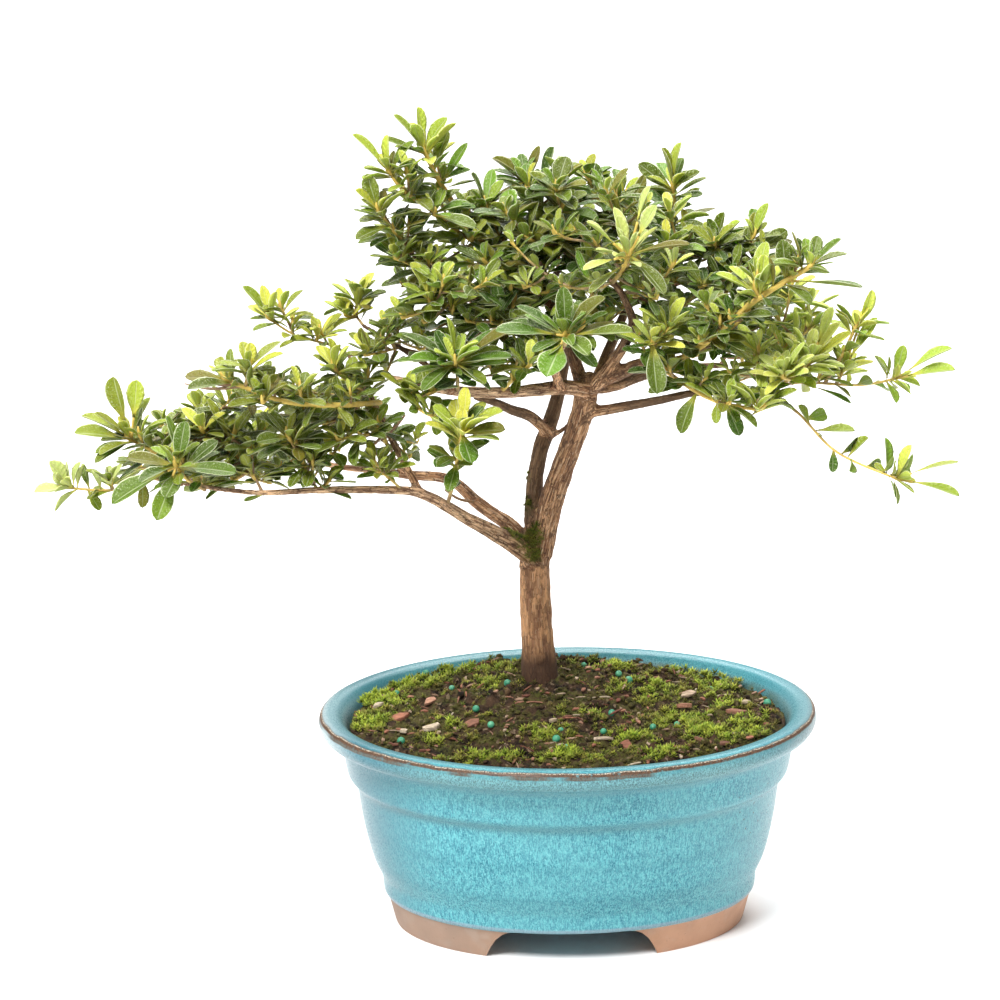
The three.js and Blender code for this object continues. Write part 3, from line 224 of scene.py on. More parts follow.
# Leaves; a list holds a value for each age
OLD = 0
MID = 1
YOUNG = 2
AGE_LOOK = [0.06, 0.34, 0.7]
SKIRT_OPENING = [82, 65, 42]
WIDEST_OPENING = [98, 88, 72]
BUD_OPENING = 16
LONGEST_LEAF = [25, 19, 15]
OPENING_STEP = 11
OPENING_VARIATION = 14
WIDEST_LEAF_LENGTH = 24
ROOT_SETBACK = 1.2
FACE_TO_VIEWER = 0.4
LEAF_STEP = 2
SKIRT_LENGTH = 0.92
SHORTEST_SHARE = 0.86
LENGTH_VARIATION = 0.24
SWAY = 0.3
GOLDEN_ANGLE = math.radians(137.5)
ROSETTE_RISE = 2.8
TRAILING_RISE = 0.6
WIDEST_AT = 0.66
PETIOLE_SHARE = 0.13
TIP_SHARE = 0.05
BLADE_THICKNESS = 0.38
SMALL_LEAF = 16.5
# Leaves far out on the left are warmer, and painted brighter: a painted lift that stands in for the light and
# sheen on that side
LEFT_FROM = 50
LEFT_OVER = 40
LEFT_PAINTED_LIGHT = 0.07
LEFT_WARMTH = 0.55
# Spreads the leaves' warmth without regard to their tone
WARMTH_SHUFFLE = 7.31
# Lone leaves that are broader or slimmer than the rest, by where their tips are on the sheet
USUAL_BREADTH = 1.1
BREADTHS = {
    (21, 141): 1.75, (24, 136): 1.9, (19, 50): 1.55, (62, 43): 1.6, (-10, 131): 1.6, (-25, 26): 1.4,
    (-14, 143): 0.6, (-155, 49): 1.5, (-145, 48): 1.4, (-137, -8): 1.3,
}

# Parts of the crown that small dark shoots fill: an outline on the sheet, the middle and half of the depth,
# and how far apart the shoots' tips are
FILLS = [
    (
        [
            (-42, 112), (-30, 106), (-12, 106), (0, 120), (18, 130), (40, 128), (58, 122), (76, 110), (94, 100),
            (116, 90), (128, 80), (132, 64), (114, 48), (88, 44), (72, 48), (60, 58), (44, 66), (24, 62), (8, 52),
            (-12, 50), (-28, 54), (-42, 70), (-40, 84), (-40, 98), (-46, 106),
        ],
        8, 44, 13.5,
    ),
    (
        [
            (-150, 14), (-140, 29), (-116, 42), (-92, 47), (-68, 44), (-57, 38), (-58, 28), (-62, 16), (-74, 5),
            (-108, 2), (-138, 2),
        ],
        4, 34, 12.5,
    ),
    ([(-62, 70), (-50, 78), (-40, 68), (-36, 52), (-42, 42), (-60, 40), (-66, 52)], 2, 20, 16.5),
]
FILL_TRIES = 6000
FILL_CLEARANCE = 6
FILL_REACH = 60
FILL_EDGE = 22

FLOOR_REACH = 12


def new_spray(name, radius, stems, whorls, leaves, **habits):
    """One leafy spray: its own habits take the place of the usual ones."""
    return {
        "name": name,
        "radius": radius,
        "stems": stems,
        "whorls": whorls,
        "leaves": leaves,
        "leaf_length": sum(whorl[4] for whorl in whorls) / len(whorls),
        "more_whorls": [],
        "extra_leaves": 0,
        "fullness": 1.0,
        "side_shoots": True,
        "trailing": False,
        "slimness": 1.0,
        "paleness": 0.0,
        "brightness": 0.0,
        "warmth_share": 1.0,
        **habits,
    }


# Each limb's route down its middle, as across, up, back and radius
LIMBS = [
    # Trunk
    [
        (17, -82, 30, 8.6), (16, -72, 30, 7.9), (15, -56, 30, 6.6), (14, -32, 30, 6.3), (14, -19, 30, 6.3),
        (14, -12, 30, 3),
    ],
    # Left front limb
    [
        (14, -24, 30, 4.2), (6, -18, 24, 3.9), (-12, -8, 7, 2.7), (-30, 2, -8, 2.2), (-44, 4, -13, 1.8),
        (-72, 4, -18, 1.5), (-99, 3, -23, 1.2), (-129, 7, -31, 0.9),
    ],
    # Left upright twig
    [(-32, 3, -8, 1.7), (-40, 18, -6, 1.6), (-49, 36, 0, 1.4), (-61, 59, 4, 0.9)],
    # Left rear limb
    [
        (12, -20, 32, 3.4), (5, -11, 38, 3.2), (-8, -2, 46, 2.7), (-20, 8, 53, 2.3), (-36, 10, 60, 2),
        (-51, 12, 66, 1.6), (-68, 14, 70, 1.3), (-82, 19, 74, 1),
    ],
    # Left rear stub
    [(-34, 10, 60, 1.4), (-45, 16, 58, 1.2), (-53, 21, 56, 0.9)],
    # Left riser
    [
        (13, -21, 32, 4.2), (14, 6, 34, 3.5), (16, 19, 34, 3.4), (21, 34, 38, 3.1), (24, 46, 42, 2.6),
        (26, 62, 50, 2.1), (22, 80, 58, 1.7), (16, 95, 64, 1.2),
    ],
    # Gnarled side branch
    [(20, 26, 36, 2.4), (13, 33, 30, 2.3), (5, 36, 22, 2.1), (-2, 39, 14, 1.7), (-10, 41, 6, 1.2)],
    # Short cross twig
    [(20, 25, 36, 1.2), (25, 28, 38, 1), (28, 31, 40, 0.8)],
    # Right riser
    [
        (16, -22, 30, 5.4), (21, 1, 26, 4.9), (27, 18, 24, 4.6), (33, 35, 21, 4.5), (35, 46, 20, 4.9),
        (36, 50, 20, 2.6),
    ],
    # Left horizontal limb
    [(35, 44, 18, 3.4), (24, 45, 10, 2.9), (2, 43, -4, 2.4), (-22, 44, -16, 2), (-44, 49, -26, 1.2)],
    # Right limb
    [(35, 45, 20, 3.6), (40, 48, 18, 3.5), (48, 51, 13, 3), (58, 55, 6, 2.4), (66, 57, 0, 1.8)],
    # Right rear limb
    [(37, 45, 24, 2.8), (46, 46, 30, 2.5), (58, 50, 40, 2), (74, 53, 52, 1.6), (90, 54, 62, 1.2)],
    # Right low limb
    [(34, 35, 22, 2.8), (42, 36, 19, 2.2), (64, 40, 8, 1.8), (80, 43, -1, 1.5), (107, 44, -14, 1.1)],
    # Centre riser
    [(33, 46, 22, 3), (25, 70, 29, 2.1), (20, 84, 27, 1.7), (24, 93, 24, 1.3)],
    # Rear riser
    [(38, 46, 26, 2.8), (46, 66, 39, 2.1), (55, 85, 53, 1.6), (66, 95, 62, 1.2)],
    # Front riser
    [(39, 47, 17, 2.6), (49, 61, 8, 2.2), (53, 71, -4, 1.8), (49, 82, -16, 1.4), (44, 88, -24, 1.2)],
    # Upper left branch
    [(23, 75, 29, 1.9), (8, 90, 26, 1.5), (-9, 104, 20, 1.1)],
    # Middle left branch
    [(26, 66, 29, 1.9), (0, 75, 9, 1.5), (-24, 90, -4, 1.2), (-37, 100, -8, 1)],
    # Bare dark twig
    [(-19, 44, -16, 1.5), (-28, 53, -12, 1.3), (-40, 61, -7, 1.2), (-55, 70, 0, 0.9)],
    # Upper right branch
    [(51, 78, 48, 1.7), (76, 89, 33, 1.4), (94, 95, 22, 1)],
    # Back branch
    [(26, 62, 50, 1.9), (40, 75, 82, 1.5), (54, 85, 100, 1)],
    # Back left branch
    [(25, 68, 53, 1.8), (4, 74, 79, 1.4), (-18, 82, 96, 0.9)],
    # Fore branch
    [(24, 45, 10, 2.2), (22, 54, -12, 1.7), (26, 63, -48, 1.1)],
]

# Each spray: its name, the radius of its stems, their routes, its whorls as across, up, back, leaf count, length
# and age, its lone leaves as the place on the stem, the tip, how far back, and age, then its habits. Whorls under
# more_whorls are only in the finished look
SPRAYS = [
    new_spray(
        "far_left_tip", 0.8, [[(-127, 6, -31), (-144, 9, -34), (-155, 4, -37), (-174, 5, -41)]],
        [(-174, 5, -41, 2, 15, YOUNG)],
        [
            (-174, 5, -179, 16, -43, YOUNG), (-174, 5, -187, 4, -44, YOUNG), (-166, 5, -160, -4, -42, MID),
            (-160, 4, -163, 12, -44, YOUNG), (-155, 4, -144, 13, -40, MID), (-144, 9, -142, -3, -38, OLD),
        ],
        # The tip's paleness is partly its young leaves' own colour and partly painted light, for the strong light
        # on this far tip
        fullness=0.8, side_shoots=False, trailing=True, paleness=0.75, extra_leaves=3,
        more_whorls=[(-156, 9, -36, 2, 13, MID)],
    ),
    new_spray(
        "left_upper_fan", 0.8, [[(-122, 4, -29), (-130, 15, -22), (-140, 20, -20), (-149, 25, -22)]],
        [(-149, 26, -22, 2, 20, MID), (-139, 20, -20, 2, 20, OLD), (-130, 15, -22, 2, 19, OLD)],
        [
            (-149, 26, -155, 49, -24, MID), (-149, 26, -145, 48, -18, YOUNG), (-149, 25, -170, 28, -26, MID),
            (-149, 25, -167, 35, -18, MID), (-146, 23, -163, 17, -30, MID), (-146, 23, -161, 36, -26, MID),
        ],
    ),
    new_spray(
        "left_front_rosette", 0.9, [[(-118, 4, -29), (-125, 8, -40), (-130, 14, -48)]],
        [(-130, 14, -48, 3, 22, OLD)],
        [
            (-130, 14, -156, 0, -54, OLD), (-130, 14, -137, -8, -60, MID), (-130, 14, -106, 12, -56, OLD),
            (-130, 14, -132, 34, -40, MID), (-130, 14, -149, 18, -50, OLD), (-130, 14, -114, 25, -42, OLD),
        ],
        warmth_share=0.4,
    ),
    new_spray(
        "left_low_fill", 0.8, [[(-95, 3, -22), (-100, 12, -14), (-109, 21, -10), (-118, 28, -8)]],
        [(-100, 12, -16, 2, 20, OLD), (-109, 21, -12, 3, 20, OLD), (-118, 28, -8, 3, 19, MID)],
        [(-98, 6, -102, 0, -30, OLD), (-106, 18, -116, 40, -16, MID)],
        more_whorls=[(-107, 8, -14, 2, 17, OLD)],
    ),
    new_spray(
        "left_mid_fill", 0.8, [[(-73, 4, -17), (-79, 15, -24), (-85, 26, -30)]],
        [(-79, 15, -26, 2, 20, OLD), (-85, 26, -32, 3, 22, OLD)],
        [(-75, 7, -78, 6, -34, OLD), (-85, 26, -97, 24, -40, OLD)],
        more_whorls=[(-68, 8, -18, 3, 15, OLD)],
    ),
    new_spray(
        "left_golden_stem", 1, [[(-48, 39, -1), (-64, 38, -26), (-84, 39, -35), (-102, 45, -38), (-111, 49, -38)]],
        [
            (-111, 49, -38, 1, 15, MID), (-100, 54, -38, 2, 19, MID), (-80, 45, -36, 2, 17, MID),
            (-95, 39, -44, 1, 18, OLD),
        ],
        [
            (-111, 49, -126, 50, -38, OLD), (-107, 47, -125, 46, -46, OLD), (-100, 53, -100, 63, -36, YOUNG),
            (-100, 53, -112, 56, -42, MID), (-100, 53, -90, 53, -34, MID), (-68, 38, -69, 46, -32, MID),
            (-64, 38, -59, 30, -34, MID),
        ],
    ),
    new_spray(
        "left_rear_fill", 0.8,
        [[(-71, 15, 71), (-90, 21, 66), (-102, 24, 58)], [(-76, 17, 69), (-95, 15, 84), (-111, 18, 90)]],
        [
            (-82, 21, 64, 2, 20, OLD), (-93, 24, 60, 2, 20, OLD), (-102, 25, 56, 2, 19, OLD),
            (-95, 15, 84, 2, 18, OLD), (-111, 18, 90, 2, 19, OLD),
        ],
        [],
    ),
    new_spray(
        "left_rear_fill_high", 0.8, [[(-40, 11, 62), (-46, 24, 62), (-58, 33, 60), (-68, 38, 56)]],
        [(-46, 24, 62, 2, 18, OLD), (-58, 32, 60, 3, 19, OLD), (-69, 39, 56, 2, 19, OLD)], [],
    ),
    new_spray(
        "left_twig_spray", 0.7, [[(-60, 58, 4), (-68, 62, 0), (-82, 66, -6), (-93, 73, -10)]],
        [(-93, 74, -10, 2, 15, YOUNG), (-83, 71, -4, 2, 14, MID), (-73, 65, -8, 2, 14, MID)],
        [(-93, 73, -102, 86, -10, MID), (-93, 73, -95, 86, -8, YOUNG), (-88, 70, -99, 69, -14, MID)],
        fullness=0.6, slimness=0.8, brightness=0.1,
    ),
    new_spray(
        "twig_lower_spray", 0.8, [[(-51, 42, 1), (-59, 46, -12), (-66, 52, -20)]],
        [(-59, 46, -14, 2, 16, MID), (-67, 54, -22, 2, 16, YOUNG)], [(-66, 53, -68, 65, -20, YOUNG)],
        fullness=0.7,
    ),
    new_spray(
        "twig_side_spray", 0.8, [[(-46, 27, -2), (-55, 26, -16), (-65, 24, -24)]],
        [(-55, 26, -18, 3, 18, OLD), (-66, 25, -26, 3, 18, MID)], [],
        fullness=0.6, more_whorls=[(-36, 17, -4, 1, 12, MID), (-33, 23, 2, 1, 11, YOUNG)],
    ),
    new_spray(
        "twig_back_spray", 0.8, [[(-48, 33, -1), (-56, 36, 16), (-64, 41, 30)]],
        [(-56, 37, 18, 2, 18, OLD), (-65, 42, 30, 3, 18, MID)], [],
    ),
    new_spray(
        "twig_top_spray", 0.7, [[(-54, 69, 0), (-58, 75, 4), (-56, 81, 6)]],
        [(-56, 81, 6, 3, 15, YOUNG), (-62, 74, 0, 2, 13, YOUNG)],
        [(-56, 81, -53, 90, 4, YOUNG), (-58, 75, -67, 79, 2, YOUNG), (-59, 75, -65, 83, 6, MID)],
        fullness=0.7,
    ),
    new_spray(
        "twig_end_spray", 0.7, [[(-40, 61, -7), (-48, 59, -14), (-54, 58, -18)]],
        [(-54, 59, -18, 3, 16, MID), (-46, 70, -10, 2, 16, MID)], [(-54, 59, -54, 68, -18, YOUNG)],
        fullness=0.6,
    ),
    new_spray(
        "low_bright_rosette", 1, [[(-21, -2, -1), (-18, 10, -24), (-17, 18, -42), (-15, 27, -58)]],
        [(-15, 28, -58, 5, 19, YOUNG), (-18, 15, -40, 2, 18, OLD)],
        [
            (-15, 27, -13, 45, -54, YOUNG), (-15, 27, -26, 38, -60, YOUNG), (-15, 27, 0, 37, -60, YOUNG),
            (-15, 27, -12, 15, -66, MID), (-15, 27, 1, 29, -66, OLD),
        ],
        fullness=0.5, side_shoots=False, slimness=1.2, brightness=0.06,
    ),
    new_spray(
        "limb_small_shoot", 0.7, [[(-39, 4, -12), (-46, 10, -18), (-50, 12, -20)]],
        [(-51, 12, -20, 3, 12, MID)], [],
    ),
    new_spray(
        "limb_golden_side", 0.8, [[(-30, 45, -18), (-37, 43, -28), (-33, 37, -34), (-26, 33, -38)]],
        [(-26, 33, -38, 3, 16, MID), (-36, 42, -30, 2, 16, MID)], [(-26, 33, -25, 26, -40, MID)],
    ),
    new_spray(
        "front_left_rosette", 1, [[(-17, 44, -15), (-17, 49, -34), (-18, 55, -50)]],
        [(-18, 56, -52, 4, 24, MID)],
        [
            (-18, 56, -41, 58, -58, OLD), (-18, 56, -38, 68, -50, OLD), (-18, 56, 6, 70, -56, OLD),
            (-18, 56, 3, 59, -60, OLD), (-18, 56, -32, 46, -60, OLD), (-18, 56, -3, 46, -58, OLD),
            (-18, 56, -20, 73, -48, YOUNG),
        ],
        extra_leaves=5, warmth_share=0.4,
    ),
    new_spray(
        "limb_golden_long", 0.8, [[(1, 44, -5), (6, 49, -22), (12, 54, -34)]],
        [(12, 54, -35, 3, 18, MID), (5, 48, -26, 1, 16, MID)], [],
        fullness=0.5, side_shoots=False,
    ),
    new_spray(
        "crown_left_golden", 1, [[(-6, 102, 21), (-16, 115, 12), (-25, 129, 5), (-31, 141, 2)]],
        [(-31, 142, 2, 3, 18, YOUNG), (-24, 128, 4, 2, 15, OLD), (-15, 114, 10, 2, 19, OLD)],
        [
            (-31, 141, -33, 158, 2, YOUNG), (-31, 141, -41, 155, 0, MID), (-31, 141, -23, 154, 4, MID),
            (-28, 136, -46, 145, -6, OLD), (-27, 134, -22, 148, 8, MID), (-24, 127, -14, 143, 6, MID),
            (-22, 125, -41, 136, -4, OLD), (-19, 118, -37, 124, -6, OLD),
        ],
        fullness=0.5, brightness=0.15,
    ),
    new_spray(
        "crown_left_outer", 0.9, [[(-3, 99, 22), (-16, 107, 8), (-28, 116, -4), (-39, 124, -8), (-45, 132, -10)]],
        [(-45, 133, -10, 2, 17, MID), (-38, 124, -6, 2, 16, OLD), (-26, 114, -8, 3, 19, OLD)],
        [(-45, 133, -58, 147, -10, MID), (-45, 133, -46, 146, -12, YOUNG), (-45, 132, -35, 135, -14, OLD)],
        fullness=0.85, brightness=0.15,
    ),
    new_spray(
        "crown_left_low", 0.8, [[(-35, 99, -8), (-41, 106, -14), (-49, 116, -18)]],
        [(-50, 118, -18, 3, 16, MID), (-43, 108, -14, 2, 17, OLD)],
        [(-50, 117, -54, 130, -18, MID), (-50, 117, -57, 125, -20, YOUNG), (-43, 107, -58, 106, -24, OLD)],
    ),
    new_spray(
        "mid_left_outer", 0.8, [[(-25, 90, -4), (-33, 93, -12), (-42, 97, -18)]],
        [(-42, 98, -18, 3, 18, MID), (-32, 93, -12, 2, 18, OLD)], [(-42, 98, -45, 107, -16, YOUNG)],
        fullness=0.8,
    ),
    new_spray(
        "mid_left_young", 0.9, [[(-12, 80, 2), (-21, 78, -16), (-28, 79, -26)]],
        [(-28, 80, -26, 2, 17, YOUNG), (-19, 75, -18, 1, 18, YOUNG), (-39, 73, -24, 2, 17, MID)],
        [(-28, 80, -35, 95, -26, YOUNG), (-28, 80, -25, 95, -28, YOUNG)],
    ),
    new_spray(
        "crown_left_dark", 0.8, [[(0, 97, 22), (-2, 109, 16), (-6, 118, 12)]],
        [(-7, 119, 12, 4, 20, OLD), (0, 109, 14, 2, 21, OLD)], [(-7, 118, -10, 131, 8, OLD)],
    ),
    new_spray(
        "crown_top_left", 1, [[(18, 89, 62), (18, 102, 54), (17, 114, 46), (16, 122, 42)]],
        [(16, 123, 42, 3, 20, OLD), (18, 105, 50, 2, 21, OLD)],
        [
            (16, 123, -2, 138, 40, OLD), (16, 123, -2, 130, 44, OLD), (16, 123, 21, 141, 38, MID),
            (16, 122, 24, 136, 34, MID), (17, 114, 0, 114, 30, OLD),
        ],
        brightness=-0.12, extra_leaves=4, warmth_share=0.4, more_whorls=[(9, 130, 40, 3, 17, OLD)],
    ),
    new_spray(
        "crown_top_centre", 0.9, [[(23, 92, 24), (24, 100, 12), (26, 106, 4)]],
        [(26, 107, 4, 3, 18, YOUNG), (19, 101, -2, 3, 18, YOUNG)],
        [(26, 106, 20, 118, 2, MID), (26, 106, 33, 117, 6, MID)],
        slimness=1.3,
    ),
    new_spray(
        "crown_top_right", 0.9, [[(60, 91, 58), (50, 104, 54), (42, 115, 50), (39, 123, 48)]],
        [
            (39, 124, 48, 3, 16, MID), (50, 122, 44, 2, 16, MID), (54, 114, 46, 3, 18, OLD),
            (44, 113, 46, 1, 18, OLD),
        ],
        [],
        fullness=0.8, brightness=-0.08, extra_leaves=4, more_whorls=[(34, 131, 46, 3, 14, MID)],
    ),
    new_spray(
        "crown_centre_fill", 0.8, [[(20, 84, 27), (10, 86, 8), (2, 91, -4)]],
        [(2, 92, -5, 3, 20, MID), (11, 95, 4, 2, 20, OLD)], [],
    ),
    new_spray(
        "centre_low_fill", 0.8, [[(9, 71, 17), (3, 73, -8), (-3, 71, -20)]],
        [(-4, 72, -22, 3, 20, OLD), (6, 80, -12, 2, 20, OLD)], [],
    ),
    new_spray(
        "pale_tall_rosette", 1.1, [[(45, 87, -23), (49, 92, -34), (52, 99, -38)]],
        [(52, 100, -38, 3, 20, YOUNG)],
        [
            (52, 99, 59, 126, -36, YOUNG), (52, 99, 62, 118, -44, YOUNG), (51, 98, 48, 114, -34, YOUNG),
            (50, 94, 35, 112, -44, YOUNG), (47, 90, 34, 93, -52, YOUNG), (45, 88, 35, 84, -48, MID),
            (54, 97, 76, 104, -46, OLD), (49, 91, 67, 84, -52, OLD),
        ],
        fullness=0.5, side_shoots=False, slimness=0.74, paleness=0.62, brightness=-0.05, extra_leaves=4,
    ),
    new_spray(
        "crown_right_outer", 0.9, [[(65, 94, 61), (69, 104, 56), (70, 116, 50), (69, 126, 46)]],
        [(69, 126, 46, 3, 17, MID), (70, 115, 50, 3, 20, OLD)],
        [
            (69, 126, 71, 143, 46, YOUNG), (69, 126, 66, 141, 44, MID), (69, 126, 79, 132, 42, OLD),
            (69, 125, 56, 135, 48, OLD), (69, 120, 81, 123, 44, OLD),
        ],
        fullness=0.7,
    ),
    new_spray(
        "crown_right_dark", 0.9,
        [[(93, 95, 21), (89, 98, 14), (86, 103, 10)], [(90, 96, 18), (98, 101, 14), (102, 106, 10)]],
        [
            (86, 105, 10, 3, 19, MID), (80, 100, 15, 3, 20, OLD), (85, 95, 4, 1, 18, OLD),
            (103, 107, 10, 1, 14, MID), (106, 99, 8, 1, 16, OLD),
        ],
        [
            (86, 104, 89, 115, 8, MID), (103, 107, 106, 119, 10, YOUNG), (103, 106, 103, 115, 14, MID),
            (99, 102, 114, 107, 16, OLD),
        ],
    ),
    new_spray(
        "right_golden_long", 1.2, [[(64, 56, 1), (73, 57, -16), (85, 65, -34), (101, 79, -46), (125, 94, -56)]],
        [
            (102, 85, -48, 3, 20, YOUNG), (125, 94, -56, 2, 18, MID), (92, 73, -46, 2, 20, OLD),
            (80, 63, -38, 2, 18, MID),
        ],
        [
            (125, 94, 136, 105, -56, OLD), (122, 93, 120, 105, -52, OLD), (102, 83, 107, 98, -46, YOUNG),
            (112, 86, 145, 86, -62, OLD), (109, 84, 125, 80, -64, OLD), (116, 89, 113, 104, -50, OLD),
        ],
    ),
    new_spray(
        "front_right_upright", 0.9, [[(60, 55, 4), (61, 59, -20), (61, 63, -36)]],
        [(61, 64, -38, 4, 17, YOUNG), (69, 70, -34, 3, 17, YOUNG)],
        [(61, 62, 58, 73, -40, MID), (61, 60, 62, 43, -46, OLD), (69, 68, 73, 81, -36, YOUNG)],
        slimness=0.8, paleness=0.25,
    ),
    new_spray(
        "front_rosette", 1, [[(26, 62, -46), (26, 66, -60)]],
        [(26, 66, -62, 3, 23, OLD)],
        [
            (26, 66, -1, 69, -70, OLD), (26, 66, 53, 68, -72, OLD), (26, 66, 19, 50, -80, MID),
            (26, 66, 26, 85, -62, MID), (26, 66, 40, 82, -64, OLD), (26, 66, 8, 79, -60, OLD),
        ],
        extra_leaves=5, warmth_share=0.4,
    ),
    new_spray(
        "right_golden_low", 0.9, [[(64, 56, 2), (66, 52, -3), (76, 45, -26), (88, 39, -36), (104, 36, -42)]],
        [(106, 38, -43, 4, 18, YOUNG), (76, 46, -28, 2, 17, OLD), (91, 40, -38, 3, 18, MID)],
        [
            (106, 38, 113, 58, -42, YOUNG), (77, 44, 70, 28, -34, OLD), (90, 38, 96, 26, -42, OLD),
            (85, 40, 86, 31, -42, MID), (106, 38, 118, 45, -46, MID),
        ],
        brightness=0.1,
    ),
    new_spray(
        "right_bright_rosette", 1, [[(108, 44, -14), (117, 49, -24), (125, 56, -30)]],
        [(125, 57, -30, 4, 20, YOUNG), (115, 55, -24, 3, 19, OLD)],
        [(125, 56, 133, 77, -30, YOUNG), (125, 56, 140, 68, -34, MID)],
        slimness=0.8, paleness=0.2, brightness=0.5, extra_leaves=10, more_whorls=[(113, 49, -44, 3, 17, YOUNG)],
    ),
    new_spray(
        "right_trailing_upper", 0.8, [[(106, 44, -13), (120, 47, -2), (144, 46, 6), (160, 49, 8)]],
        [(160, 49, 8, 2, 14, MID), (138, 54, 4, 3, 17, YOUNG), (128, 50, 0, 2, 17, OLD)],
        [
            (160, 49, 180, 62, 8, MID), (160, 49, 182, 53, 6, MID), (156, 47, 159, 39, 4, MID),
            (159, 49, 161, 62, 10, MID), (138, 53, 149, 84, 4, YOUNG), (138, 53, 150, 73, 2, MID),
        ],
        fullness=0.5, side_shoots=False, trailing=True, brightness=0.28, extra_leaves=3,
        more_whorls=[(143, 71, 2, 3, 14, MID)],
    ),
    new_spray(
        "right_trailing_lower", 0.8, [[(106, 43, -14), (119, 35, -26), (135, 19, -35), (160, 8, -42)]],
        [(160, 9, -42, 2, 15, MID)],
        [
            (125, 30, 120, 38, -30, MID), (127, 27, 142, 28, -32, MID), (134, 20, 133, 11, -36, OLD),
            (140, 16, 147, 25, -38, MID), (160, 9, 164, 22, -44, YOUNG), (160, 9, 183, 17, -44, MID),
            (160, 9, 184, 3, -48, MID), (156, 10, 150, 15, -38, MID),
        ],
        fullness=0.5, side_shoots=False, trailing=True, brightness=0.12, extra_leaves=3,
    ),
    new_spray(
        "right_rear_fill", 0.8,
        [[(87, 53, 60), (94, 62, 50), (98, 68, 36)], [(91, 57, 55), (106, 57, 56), (117, 62, 48)]],
        [(98, 69, 34, 3, 20, OLD), (86, 70, 40, 3, 20, OLD), (107, 59, 54, 2, 20, OLD), (118, 63, 46, 2, 19, OLD)],
        [],
    ),
    new_spray(
        "back_high_fill", 0.8, [[(53, 84, 99), (56, 93, 110), (64, 95, 118)]],
        [(56, 94, 112, 3, 20, OLD), (65, 97, 122, 3, 19, OLD)], [],
    ),
    new_spray(
        "back_left_fill", 0.8, [[(-17, 81, 96), (-24, 87, 104), (-28, 92, 110)]],
        [(-28, 93, 112, 3, 19, OLD), (-15, 89, 104, 3, 20, OLD)], [],
    ),
    new_spray(
        "back_centre_fill", 0.8, [[(36, 71, 72), (32, 84, 90), (29, 94, 98)]],
        [(29, 94, 98, 3, 20, OLD), (34, 84, 104, 3, 20, OLD)], [],
    ),
    new_spray(
        "back_mid_fill", 0.8, [[(0, 76, 84), (0, 86, 84), (-1, 95, 82)]],
        [(-1, 96, 82, 3, 20, OLD), (6, 83, 92, 2, 20, OLD)], [],
    ),
]

# Sheet directions in the model's own frame
TOWARD_VIEWER = Vector((0, -math.cos(VIEW_TILT), math.sin(VIEW_TILT)))
SHEET_RIGHT = Matrix.Rotation(VIEW_ROLL, 3, TOWARD_VIEWER) @ Vector((1, 0, 0))
SHEET_UP = TOWARD_VIEWER.cross(SHEET_RIGHT)
EYE = VIEW_TARGET + TOWARD_VIEWER * EYE_DISTANCE
RISE = Vector((0, 0, 1))


def place(point):
    """The point in space that shows at this place on the sheet, this far back."""
    across, up, back = point[:3]
    on_sheet = VIEW_TARGET + SHEET_RIGHT * across + SHEET_UP * up
    ray = on_sheet - EYE
    return EYE + ray * ((back - EYE.y) / ray.y)


def placed(points):
    return [place(point) for point in points]


def seeded(seed):
    """The same even draws from 0 to 1 that the plain solids are laid out with."""
    mask = 0xFFFFFFFF
    state = seed

    def draw():
        nonlocal state
        state = (state + 0x6D2B79F5) & mask
        mixed = ((state ^ (state >> 15)) * (1 | state)) & mask
        mixed = ((mixed + (((mixed ^ (mixed >> 7)) * (61 | mixed)) & mask)) & mask) ^ mixed
        return ((mixed ^ (mixed >> 14)) & mask) / 4294967296

    return draw


def smooth_step(x, low, high):
    t = np.clip((x - low) / (high - low), 0, 1)
    return t * t * (3 - 2 * t)


def held(value):
    """The value, held between 0 and 1."""
    return min(max(value, 0), 1)


def add_object(name, data):
    made = bpy.data.objects.new(name, data)
    bpy.context.collection.objects.link(made)
    return made


def set_attribute(mesh, name, kind, values):
    """Gives each vertex of the mesh its row of the values."""
    attribute = mesh.attributes.new(name, kind, "POINT")
    field = "color" if kind == "FLOAT_COLOR" else "vector"
    attribute.data.foreach_set(field, values.astype(np.float32).ravel())


def new_mesh(name, points, faces):
    """A mesh from points in millimetres round the pot's middle."""
    mesh = bpy.data.meshes.new(name)
    mesh.from_pydata((np.asarray(points) * MM + POT_CENTRE).tolist(), [], faces)
    mesh.update()
    return mesh


class Batch:
    """Closed shapes gathered for one mesh. Each vertex carries a look (four numbers) and a place on its leaf."""

    def __init__(self, habits=None):
        self.habits = habits
        self.points = []
        self.looks = []
        self.places = []
        self.quads = []
        self.triangles = []
        self.quad_slots = []
        self.triangle_slots = []
        self.count = 0

    def add(self, points, quads=(), triangles=(), look=(0, 0, 0, 0), places=(0, 0), slot=0):
        points = np.asarray(points, float).reshape(-1, 3)
        size = len(points)
        self.points.append(points)
        self.looks.append(np.broadcast_to(look, (size, 4)))
        self.places.append(np.broadcast_to(places, (size, 2)))
        for faces, gathered, slots in (
            (quads, self.quads, self.quad_slots),
            (triangles, self.triangles, self.triangle_slots),
        ):
            if len(faces):
                gathered.extend((np.asarray(faces, int) + self.count).tolist())
                slots.extend([slot] * len(faces))
        self.count += size

    def build(self, name, materials):
        mesh = new_mesh(name, np.vstack(self.points), self.quads + self.triangles)
        set_attribute(mesh, "look", "FLOAT_COLOR", np.vstack(self.looks))
        corners = np.empty(len(mesh.loops), int)
        mesh.loops.foreach_get("vertex_index", corners)
        flat = mesh.uv_layers.new(name="leaf")
        flat.data.foreach_set("uv", np.vstack(self.places)[corners].astype(np.float32).ravel())
        mesh.polygons.foreach_set("material_index", self.quad_slots + self.triangle_slots)
        mesh.shade_smooth()
        for material in materials:
            mesh.materials.append(material)
        return add_object(name, mesh)


